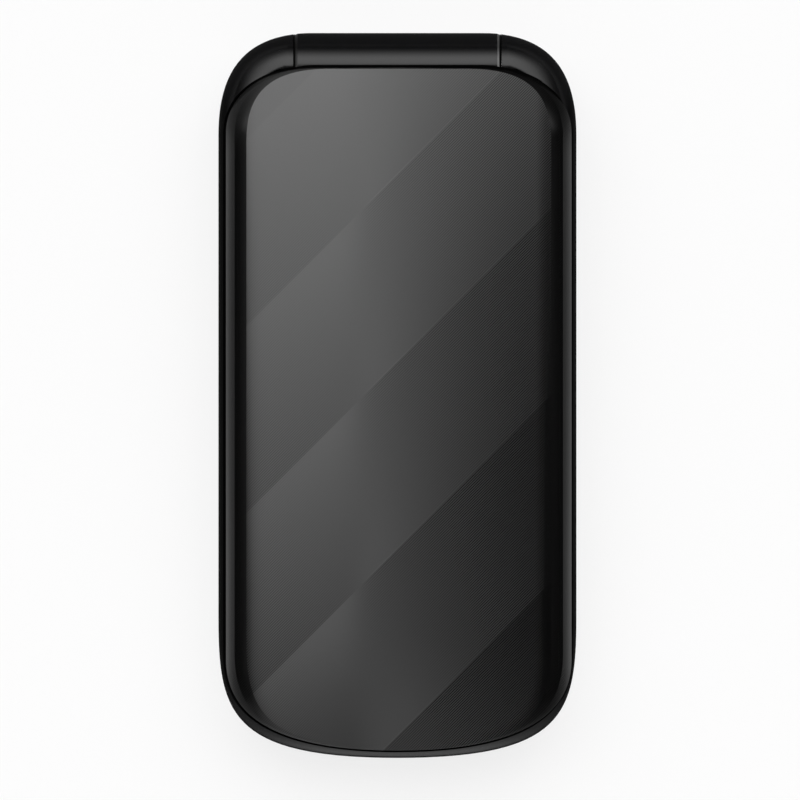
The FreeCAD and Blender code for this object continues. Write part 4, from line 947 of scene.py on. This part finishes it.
def planeNormals(mesh, best):
    # a corner on a wide plane takes that plane's normal, and so does a rounding's corner where it meets one
    s = shellSmoothing
    vertexOf, faceOf = corners(mesh)
    normal, area = fetch(mesh.polygons, "normal"), fetch(mesh.polygons, "area", 1) / mm ** 2
    offset = (fetch(mesh.polygons, "center") / mm * normal).sum(1)
    planes = np.round(np.column_stack([normal * s["normalSteps"], offset * s["offsetSteps"]]))
    _, group = np.unique(planes, axis=0, return_inverse=True)
    total = np.bincount(group.ravel(), weights=area)[group.ravel()]
    cornerTotal, cornerNormal = total[faceOf], normal[faceOf]
    order = np.argsort(cornerTotal)
    order = order[cornerTotal[order] > s["leastPlane"]]
    plane, known = np.zeros((len(mesh.vertices), 3)), np.zeros(len(mesh.vertices), bool)
    plane[vertexOf[order]] = cornerNormal[order]
    known[vertexOf[order]] = True
    closeness = (plane[vertexOf] * cornerNormal).sum(1)
    near = known[vertexOf] & (closeness > math.cos(math.radians(s["patchAngle"])))
    best[near] = plane[vertexOf][near]
    wide = cornerTotal > s["leastPlane"]
    best[wide] = cornerNormal[wide]
    return best


def polished(node, name, material, body, rolled=True, prepare=None):
    # merged copy with area-weighted normals, and the true ones where they lie close to the facet's own
    piece = mergedCopy(node, name, material)
    mesh = piece.data
    if prepare:
        prepare(mesh)
    best = planeNormals(mesh, weightedNormals(piece, shellSmoothing["patchAngle"]))
    if rolled:
        vertexOf, faceOf = corners(mesh)
        facetNormal = fetch(mesh.polygons, "normal")[faceOf]
        closeness = np.full(len(vertexOf), math.cos(math.radians(shellSmoothing["rolledAngle"])))
        for normal, valid in roundedNormals(fetch(mesh.vertices, "co") / mm):
            dot = (normal[vertexOf] * facetNormal).sum(1)
            take = valid[vertexOf] & (dot > closeness)
            best[take] = normal[vertexOf][take]
            closeness[take] = dot[take]
    mesh.normals_split_custom_set(best.tolist())
    assign(piece, body, [node])


polished("lid_frame", "frame_rim", finishes["frame"], "lid")
polished("front_housing", "fascia", finishes["fascia"], "base", prepare=bevelBarrel)
polished("lid_inner_housing", "lid_face", finishes["satin"], "lid")
polished("rear_housing", "back_shell", finishes["matte"], "base")
polished("battery_cover", "battery_door", finishes["matte"], "battery_cover")
print("shells polished")


def eased(node, name, material, body, width=0.1):
    # merged copy with flat faces joined and every sharp edge broken by a small bevel
    sharp = 40.0
    piece = mergedCopy(node, name, material)
    with reworked(piece.data) as work:
        bmesh.ops.dissolve_limit(work, angle_limit=math.radians(2), verts=work.verts, edges=work.edges)
    modifier = piece.modifiers.new("edges", "BEVEL")
    modifier.width, modifier.segments = width * mm, 2
    modifier.limit_method, modifier.angle_limit = "ANGLE", math.radians(sharp)
    evaluated = piece.evaluated_get(bpy.context.evaluated_depsgraph_get())
    piece.data = bpy.data.meshes.new_from_object(evaluated)
    piece.modifiers.clear()
    piece.data.normals_split_custom_set(planeNormals(piece.data, weightedNormals(piece, sharp)).tolist())
    assign(piece, body, [node])


eased("display_window", "display_glass", finishes["window"], "lid", 0.12)
eased("battery", "battery_pack", finishes["battery"], "base", 0.35)
eased("battery_connector", "battery_contacts", finishes["nylon"], "base", 0.08)
eased("usb_connector", "charging_socket", finishes["port"], "base", 0.06)
polished("lid_bumpers", "bumpers", finishes["rubber"], "lid", rolled=False)
polished("screw_plugs", "plugs", finishes["rubber"], "base", rolled=False)
print("small parts eased")

# ---- headset socket: a body behind the wall, and a nose with a rolled lip round the bore
headset = {
    "y": 35.5, "z": 4.2, "face": -25.9, "nose": 5.0, "bore": 3.6, "boreEnd": -12.2, "lip": 0.14,
    "lipSteps": 4, "shoulder": -24.5, "step": 0.01, "back": -11.5, "width": 6.0, "height": 4.3,
    "bevel": 0.3, "bodyDrop": 0.25, "boreWall": 0.1,
}


def makeHeadset():
    # rounded rectangles along the bore's axis; the body's own lie a little lower than the bore
    s = headset
    body = (s["width"], s["height"], s["bevel"])

    def disc(size, level):
        return size, size, size / 2, level

    def lipRings(size, way, turns):
        # the lip's quarter circle: lip * (1 - cos t) in radius and lip * (1 - sin t) in level
        return [disc(size + way * 2 * s["lip"] * (1 - math.cos(t)), s["face"] + s["lip"] * (1 - math.sin(t)))
                for t in turns]

    turns = np.linspace(0, math.pi / 2, s["lipSteps"])
    rings = [disc(0, s["back"]), body + (s["back"],), body + (s["shoulder"] + s["step"],),
             disc(s["nose"], s["shoulder"])]
    rings += lipRings(s["nose"], -1, turns) + lipRings(s["bore"], 1, turns[::-1])
    rings += [disc(s["bore"], s["boreEnd"]), disc(0, s["boreEnd"])]

    def place(p):
        behind = p[:, 2] > s["shoulder"] + s["step"] / 2
        onBody = behind & (np.hypot(p[:, 0], p[:, 1]) > s["bore"] / 2 + s["boreWall"])
        return np.column_stack([p[:, 2], s["y"] + p[:, 0], s["z"] - s["bodyDrop"] * onBody + p[:, 1]])

    makePiece("headset_socket", [moved(ringStack(rings, corner=25), place)], [finishes["nylon"]], crease=35.0,
              body="base", replaces=["headset_jack"])


makeHeadset()

# ---- hinge collars: near-black rings in the slots beside the barrel, painted shade for the slots
collar = {"radius": 4.8, "inner": 3.6, "start": 14.86, "end": 15.07, "chamfer": 0.05, "count": 96}


def makeCollars():
    # a profile of (radius, x) turned about the hinge axis
    s = collar
    profile = [(s["inner"], s["start"]), (s["radius"], s["start"]), (s["radius"], s["end"] - s["chamfer"]),
               (s["radius"] - s["chamfer"], s["end"]), (s["inner"], s["end"]), (s["inner"], s["start"])]
    for name, side in (("left", -1), ("right", 1)):
        place = lambda p: np.column_stack([side * p[:, 2], axisY + p[:, 0], axisZ + p[:, 1]])
        makePiece("hinge_collar_" + name, [moved(turned(profile, s["count"]), place)], [finishes["gapShadow"]],
                  body="base")


makeCollars()

# ---- rail ends: the door's rails carried on to the chin's rolled edge, so that their grooves end filled
railEnd = {
    "x": 19.7, "start": -45.9, "recess": 0.12, "web": 0.3, "lip": 0.6, "low": 1.05, "neck": 1.95, "high": 2.5,
    "steps": 4,
}


def makeRailEnds():
    # a T drawn in x and z and carried along y; each corner ends on the rolled edge, whose inset at height z
    # is r - sqrt(r^2 - (r - z)^2)
    s, r = railEnd, phone["backRadius"]
    half = [(s["web"], s["low"]), (s["web"], s["neck"]), (s["lip"], s["neck"]), (s["lip"], s["high"])]
    outline = half + [(-x, z) for x, z in half[::-1]]
    count = len(outline)
    for name, side in (("left", -1), ("right", 1)):
        ends = []
        for across, z in outline:
            loop = planLoop(phone, r - math.sqrt(r * r - (r - z) ** 2) + s["recess"])
            chin = loop[loop[:, 1] < phone["sideBottom"]]
            chin = chin[chin[:, 0].argsort()]
            ends.append(float(np.interp(side * s["x"] + across, chin[:, 0], chin[:, 1])))
        rows = [[(side * s["x"] + x, s["start"] + (end - s["start"]) * t, z)
                 for (x, z), end in zip(outline, ends)] for t in np.linspace(0, 1, s["steps"])]
        points, faces, kinds = loopStack(rows)
        faces += [list(range(count)), list(range(len(points) - count, len(points)))[::-1]]
        makePiece("rail_end_" + name, [(points, faces, kinds + [0, 0])], [finishes["matte"]],
                  body="battery_cover")


makeRailEnds()
print("rail ends made")

# ---- keys
keyShape = {
    "top": 10.3, "corner": 1.7, "okCorner": 2.2, "edge": 0.35, "edgeSteps": 6, "crown": 0.16, "flange": 0.4,
    "flangeLow": 8.3, "flangeHigh": 8.85, "stemRadius": 1.1, "stemLow": 7.6,
    "digit": 4.4, "star": 5.28, "letters": 1.75, "plus": 2.625, "beside": 2.6, "lettersDown": 0.3,
    "dash": (3.4, 0.5), "handset": 1.9, "clear": 2.4, "okRing": (1.25, 1.0),
}
digitKeys = {
    "key_1": ("1", ""), "key_2": ("2", "abc"), "key_3": ("3", "def"), "key_4": ("4", "ghi"),
    "key_5": ("5", "jkl"), "key_6": ("6", "mno"), "key_7": ("7", "pqrs"), "key_8": ("8", "tuv"),
    "key_9": ("9", "wxyz"), "key_star": ("*", ""), "key_0": ("0", "+"), "key_hash": ("#", ""),
}


handsetSign = {
    "points": 33, "spread": 1.05, "grip": 0.11, "ends": 0.16, "endFrom": 0.62, "endFull": 0.78, "down": 0.7,
}


def handset(size, lying):
    # handset sign: an arc-shaped grip that widens to an earpiece and a mouthpiece at its ends
    s = handsetSign
    t = np.linspace(-1, 1, s["points"])
    angle = t * s["spread"] + math.pi / 2
    thick = s["grip"] + s["ends"] * smoothStep(abs(t), s["endFrom"], s["endFull"])
    outer = np.stack([np.cos(angle), np.sin(angle)], 1)
    inner = outer * (1 - 2 * thick)[:, None]
    loop = np.vstack([outer[::-1], inner])
    loop[:, 1] -= s["down"]
    turn = 0.0 if lying else math.pi / 4
    rotation = np.array([[math.cos(turn), math.sin(turn)], [-math.sin(turn), math.cos(turn)]])
    return plaque(loop[::-1] @ rotation * size)


def dash(width, height):
    return plaque(roundedRect(width, height, height / 2, 5))


def arrow(size, turn, spread=2.3):
    # small triangle that points along the turn's direction
    angle = turn + np.array([0, spread, -spread])
    return plaque(np.stack([np.cos(angle), np.sin(angle)], 1) * size)


def ringSign(outer, inner, count=40):
    # flat ring: a strip round a circle, thin enough to lie on the key
    z = signs["thickness"]
    return turned([(outer, z), (inner, z), (inner, -z), (outer, -z), (outer, z)], count)[:2]


def makeKey(node, drawn, material="key", ink="ink"):
    # rounded rectangles carried up a profile, its top a shallow bowl turned over; signs lie on that crown
    s = keyShape
    low, high = nodeBox(node)
    x, y = (low + high)[:2] / 2
    w, h = (high - low)[:2]
    flange, corner = (0, s["okCorner"]) if node == "key_ok" else (s["flange"], s["corner"])
    wide, tall, wideCorner = w, h, corner + flange
    w, h = w - 2 * flange, h - 2 * flange

    def crown(x, y):
        return s["top"] - s["crown"] / 2 * ((x / (w / 2)) ** 2 + (y / (h / 2)) ** 2)

    stem = (2 * s["stemRadius"], 2 * s["stemRadius"], s["stemRadius"])
    rings = [(0, 0, 0, s["stemLow"]), stem + (s["stemLow"],), stem + (s["flangeLow"],),
             (wide, tall, wideCorner, s["flangeLow"])]
    if flange:
        rings += [(wide, tall, wideCorner, s["flangeHigh"]), (w, h, corner, s["flangeHigh"])]
    rings += crowned(w, h, corner, s["edge"], s["edgeSteps"], crown)
    place = lambda p: p + [x, y, 0]
    parts = [moved(ringStack(rings), place)]
    parts += [laid(shape, kind, out, up, crown, place) for shape, kind, out, up in drawn]
    makePiece(node + "_cap", parts, [finishes[material], finishes[ink], finishes["green"], finishes["red"]],
              crease=40.0, body=node, replaces=[node])


def makeKeys():
    # each sign is a shape, the number of its ink, and its place on the key
    s = keyShape
    for node, (digit, letters) in digitKeys.items():
        size = s["star"] if digit == "*" else s["digit"]
        drawn = [(writing(digit, size), 1, -s["beside"] if letters else 0, 0.0)]
        if letters:
            size = s["plus"] if letters == "+" else s["letters"]
            drawn.append((writing(letters, size), 1, s["beside"], -s["lettersDown"]))
        makeKey(node, drawn)
    makeKey("key_soft_left", [(dash(*s["dash"]), 1, 0, 0)])
    makeKey("key_soft_right", [(dash(*s["dash"]), 1, 0, 0)])
    makeKey("key_call", [(handset(s["handset"], False), 2, 0, 0)])
    makeKey("key_end", [(handset(s["handset"], True), 3, 0, 0)])
    makeKey("key_clear", [(writing("C", s["clear"]), 1, 0, 0)])
    makeKey("key_ok", [(ringSign(*s["okRing"]), 1, 0, 0)], "navMetal", "darkInk")


makeKeys()
print("keys made")

# ---- navigation ring
navRing = {
    "x": 0.0, "y": 25.5, "size": 18.0, "corner": 5.0, "hole": 8.0, "holeCorner": 2.4, "holeEdge": 0.2,
    "top": 10.3, "dish": 0.3, "dishSteps": 8, "edge": 0.45, "edgeSteps": 6,
    "low": 8.3, "flangeHigh": 8.5, "flange": 0.4, "arrowOut": 6.5, "arrow": 0.75,
}


def makeNavRing():
    # rounded squares from the outer wall over the rolled edge, down a shallow dish and into the hole
    s = navRing
    size, hole, corner, edge = s["size"], s["hole"], s["corner"], s["edge"]

    def square(width, radius, level):
        return width, width, radius, level

    def dish(x, y):
        # highest on the outer edge, falling towards the hole
        reach = np.maximum(abs(x), abs(y))
        return s["top"] - s["dish"] * (1 - smoothStep(reach, hole / 2 - 0.5, size / 2 - edge))

    flange = (size + 2 * s["flange"], corner + s["flange"])
    rings = [square(*flange, s["low"]), square(*flange, s["flangeHigh"]),
             square(size, corner, s["flangeHigh"])]
    rings += rolledEdge(size, size, corner, edge, s["edgeSteps"], dish)
    for share in np.linspace(0, 1, s["dishSteps"] + 1)[1:]:
        width = size - 2 * edge + (hole + 2 * s["holeEdge"] - size + 2 * edge) * share
        radius = corner - edge + (s["holeCorner"] + s["holeEdge"] - corner + edge) * share
        rings.append(square(width, radius, dish))
    rings += [square(hole, s["holeCorner"], s["top"] - s["dish"] - s["holeEdge"]),
              square(hole, s["holeCorner"], s["low"]), rings[0]]
    place = lambda p: p + [s["x"], s["y"], 0]
    parts = [moved(ringStack(rings, corner=13), place)]
    for turn in np.arange(4) * math.pi / 2:
        x, y = s["arrowOut"] * math.cos(turn), s["arrowOut"] * math.sin(turn)
        parts.append(laid(arrow(s["arrow"], turn), 1, x, y, dish, place))
    makePiece("navigation_ring", parts, [finishes["navMetal"], finishes["darkInk"]], crease=40.0,
              body="nav_ring", replaces=["nav_ring"])


makeNavRing()

# ---- volume key on the right side
rocker = {
    "y": 14.5, "z": 5.5, "length": 15.0, "height": 2.8, "corner": 0.65, "face": 25.95, "back": 23.8,
    "edge": 0.4, "edgeSteps": 5, "waist": 0.12, "waistWidth": 1.6, "flange": 0.7, "flangeCorner": 1.0,
    "flangeThickness": 0.45, "signOut": 5.6, "signLong": 1.3, "signThin": 0.28,
}


def makeRocker():
    # rounded bars stacked outwards, the face a little lower at its middle
    s = rocker

    def face(u, v):
        return s["face"] - s["waist"] * np.exp(-(u / s["waistWidth"]) ** 2)

    flange = (s["length"] + 2 * s["flange"], s["height"] + 2 * s["flange"], s["flangeCorner"])
    bar = (s["length"], s["height"], s["corner"])
    shelf = s["back"] + s["flangeThickness"]
    rings = [(0, 0, 0, s["back"]), flange + (s["back"],), flange + (shelf,), bar + (shelf,)]
    rings += crowned(*bar, s["edge"], s["edgeSteps"], face)
    place = lambda p: np.column_stack([p[:, 2], s["y"] + p[:, 0], s["z"] + p[:, 1]])
    parts = [moved(ringStack(rings), place)]
    lying, standing = dash(s["signLong"], s["signThin"]), dash(s["signThin"], s["signLong"])
    for shape, side in ((lying, 1), (standing, 1), (lying, -1)):
        parts.append(laid(shape, 1, side * s["signOut"], 0, face, place))
    makePiece("volume_key", parts, [finishes["key"], finishes["ink"]], crease=40.0, body="volume_rocker",
              replaces=["volume_rocker"])


makeRocker()
print("ring and side key made")


# ---- camera on the back
def makeLens():
    # a profile of (radius, height) turned about the lens's middle: bezel, glass down to the well, domed lens
    s = lens
    depth = s["glass"] + s["wellDepth"]
    bezel = [(0, s["back"]), (s["seat"], s["back"])]
    bezel += [(s["seat"] + out, z) for out, z in s["bezel"]]
    bezel += [(s["glassRadius"] + out, z) for out, z in s["inner"]] + [(s["glassRadius"], s["glass"])]
    glass = [(s["well"] + out, s["glass"] + z) for out, z in s["steps"]] + [(s["well"], depth)]
    dome = [(s["well"] * math.cos(t), depth - s["bulge"] * math.sin(t))
            for t in np.linspace(0, math.pi / 2, s["domeSteps"] + 1)[1:]]
    kinds = [0] * (len(bezel) - 1) + [1] * len(glass) + [2] * len(dome)
    part = moved(turned(bezel + glass + dome, s["count"], kinds), lambda p: p + [s["x"], s["y"], 0])
    makePiece("camera_lens", [part], [finishes["darkMetal"], finishes["window"], finishes["lens"]],
              crease=35.0, body="base", replaces=["camera_window"])


makeLens()

# ---- battery's printed signs
batterySigns = {"y": 5.2, "size": 2.2, "x": {"+": -11.5, "−": -6.5}, "below": 0.01}


def makeBatterySigns():
    # writing turned over, just under the battery
    s = batterySigns
    low, _ = nodeBox("battery")
    parts = []
    for text, x in s["x"].items():
        points, faces = writing(text, s["size"])
        parts.append((points * [-1, 1, -1] + [x, s["y"], low[2] - s["below"]], faces, [0] * len(faces)))
    makePiece("battery_signs", parts, [finishes["ink"]], body="base")


makeBatterySigns()
print("camera and battery dressed")

# ---- everything that stays as the CAD made it, by the record's material slot
slotFinish = {
    "black_gloss": "frame", "black_satin": "satin", "black_matte": "matte", "window_black": "window",
    "lcd_glass": "lcd", "dark_metal": "darkMetal", "mesh_black": "cloth", "steel": "steel",
    "soft_black": "rubber", "silicone": "silicone", "ribbon_amber": "ribbon", "battery_grey": "battery",
    "connector_black": "nylon", "board_green": "board", "foil_white": "foil", "carrier_grey": "antenna",
    "nav_metal": "navMetal", "key_black": "key", "patterned_gloss": "film",
}
for subpart in frame["record"]["subparts"]:
    mesh = frame["nodes"][subpart["node"]].data
    mesh.materials.clear()
    mesh.materials.append(finishes[slotFinish[subpart["material_slot"]]])
print("CAD parts finished")

# ---- stage, light and camera; the floor's sizes are in metres, its drop in millimetres
stage = {
    "flat": (0.0, 0.3, 1.0), "radius": 1.7, "rimRadius": 0.5, "rimSteps": 16, "count": 128, "drop": 0.03,
    "colour": (0.86, 0.86, 0.86), "white": 0.8,
}


def floorLook(tree):
    return {"colour": blendColour(noise(tree, 0.002), stage["colour"], spread(stage["colour"], 1.02)),
            "rough": 0.9, "specular": 0.1}


def makeFloor():
    # a wide dish: flat, then a quarter circle up to its rim; seen or reflected, it is lifted towards white
    s = stage
    profile = [(radius, 0.0) for radius in s["flat"]]
    profile += [(s["radius"] + s["rimRadius"] * math.sin(t), s["rimRadius"] * (1 - math.cos(t)))
                for t in np.linspace(0, math.pi / 2, s["rimSteps"])]
    material = newMaterial("floor", floorLook)
    tree = material.node_tree
    path = tree.nodes.new("ShaderNodeLightPath")
    camera, glossy, clear = (Field(path.outputs["Is " + kind + " Ray"]) for kind in (
        "Camera", "Glossy", "Transmission"))
    seen = calc("MAXIMUM", camera, calc("MAXIMUM", glossy, clear))
    plain, glow = Field(tree.nodes["Principled BSDF"].outputs[0]), addNode(tree, "ShaderNodeEmission", {})
    plug(addNode(tree, "ShaderNodeMixShader", {0: seen * s["white"], 1: plain, 2: glow}),
         tree.nodes["Material Output"].inputs["Surface"])
    dish = turned([(r / mm, h / mm - s["drop"]) for r, h in profile], s["count"])
    floor = makePiece("floor", [dish], [material], close=False)


# strengths, and the shares of the way towards each light at which it starts, is full, fades and is gone
studio = {
    "fill": 0.02, "front": (-0.6, -0.45, 0.8, 0.0),
    "key": 4.0, "keyNear": (0.04, 0.11), "keyFar": (0.47, 0.95, 1.0, 0.0), "keySide": (0.12, 0.92, 1.0, 0.0),
    "left": 0.15, "leftNear": (-0.1, -0.3), "leftFar": (-0.3, -0.9, 1.0, 0.0),
}


def makeWorld():
    # a dim dome, a soft box beyond the hinge end, a broad glow beyond the chin and a weak one from the left
    s = studio
    world = bpy.data.worlds.new("studio")
    bpy.context.scene.world = world
    world.use_nodes = True
    dx, dy, _ = axes(world.node_tree, "Generated")
    box = ramp(dy, *s["keyNear"]) * ramp(dy, *s["keyFar"]) * ramp(abs(dx), *s["keySide"])
    left = ramp(dx, *s["leftNear"]) * ramp(dx, *s["leftFar"])
    light = box * s["key"] + left * s["left"] + ramp(dy, *s["front"]) + s["fill"]
    plug(grey(light), world.node_tree.nodes["Background"].inputs["Color"])


view = {
    "lens": 500.0, "sensor": 36.0, "width": 116.2, "x": 0.376, "y": -0.664, "level": 13.0,
    "near": 0.01, "far": 20.0,  # metres
}


def makeCamera():
    # straight above the lid; the picture's middle lies a little right of and below the phone's
    data = bpy.data.cameras.new("camera")
    data.lens, data.sensor_width = view["lens"], view["sensor"]
    data.clip_start, data.clip_end = view["near"], view["far"]
    camera = bpy.data.objects.new("camera", data)
    distance = view["width"] * view["lens"] / view["sensor"]
    camera.location = (view["x"] * mm, view["y"] * mm, (view["level"] + distance) * mm)
    bpy.context.scene.collection.objects.link(camera)
    bpy.context.scene.camera = camera


makeFloor()
makeWorld()
makeCamera()
bpy.context.scene.view_settings.view_transform = "Standard"
print("stage, light and camera set")
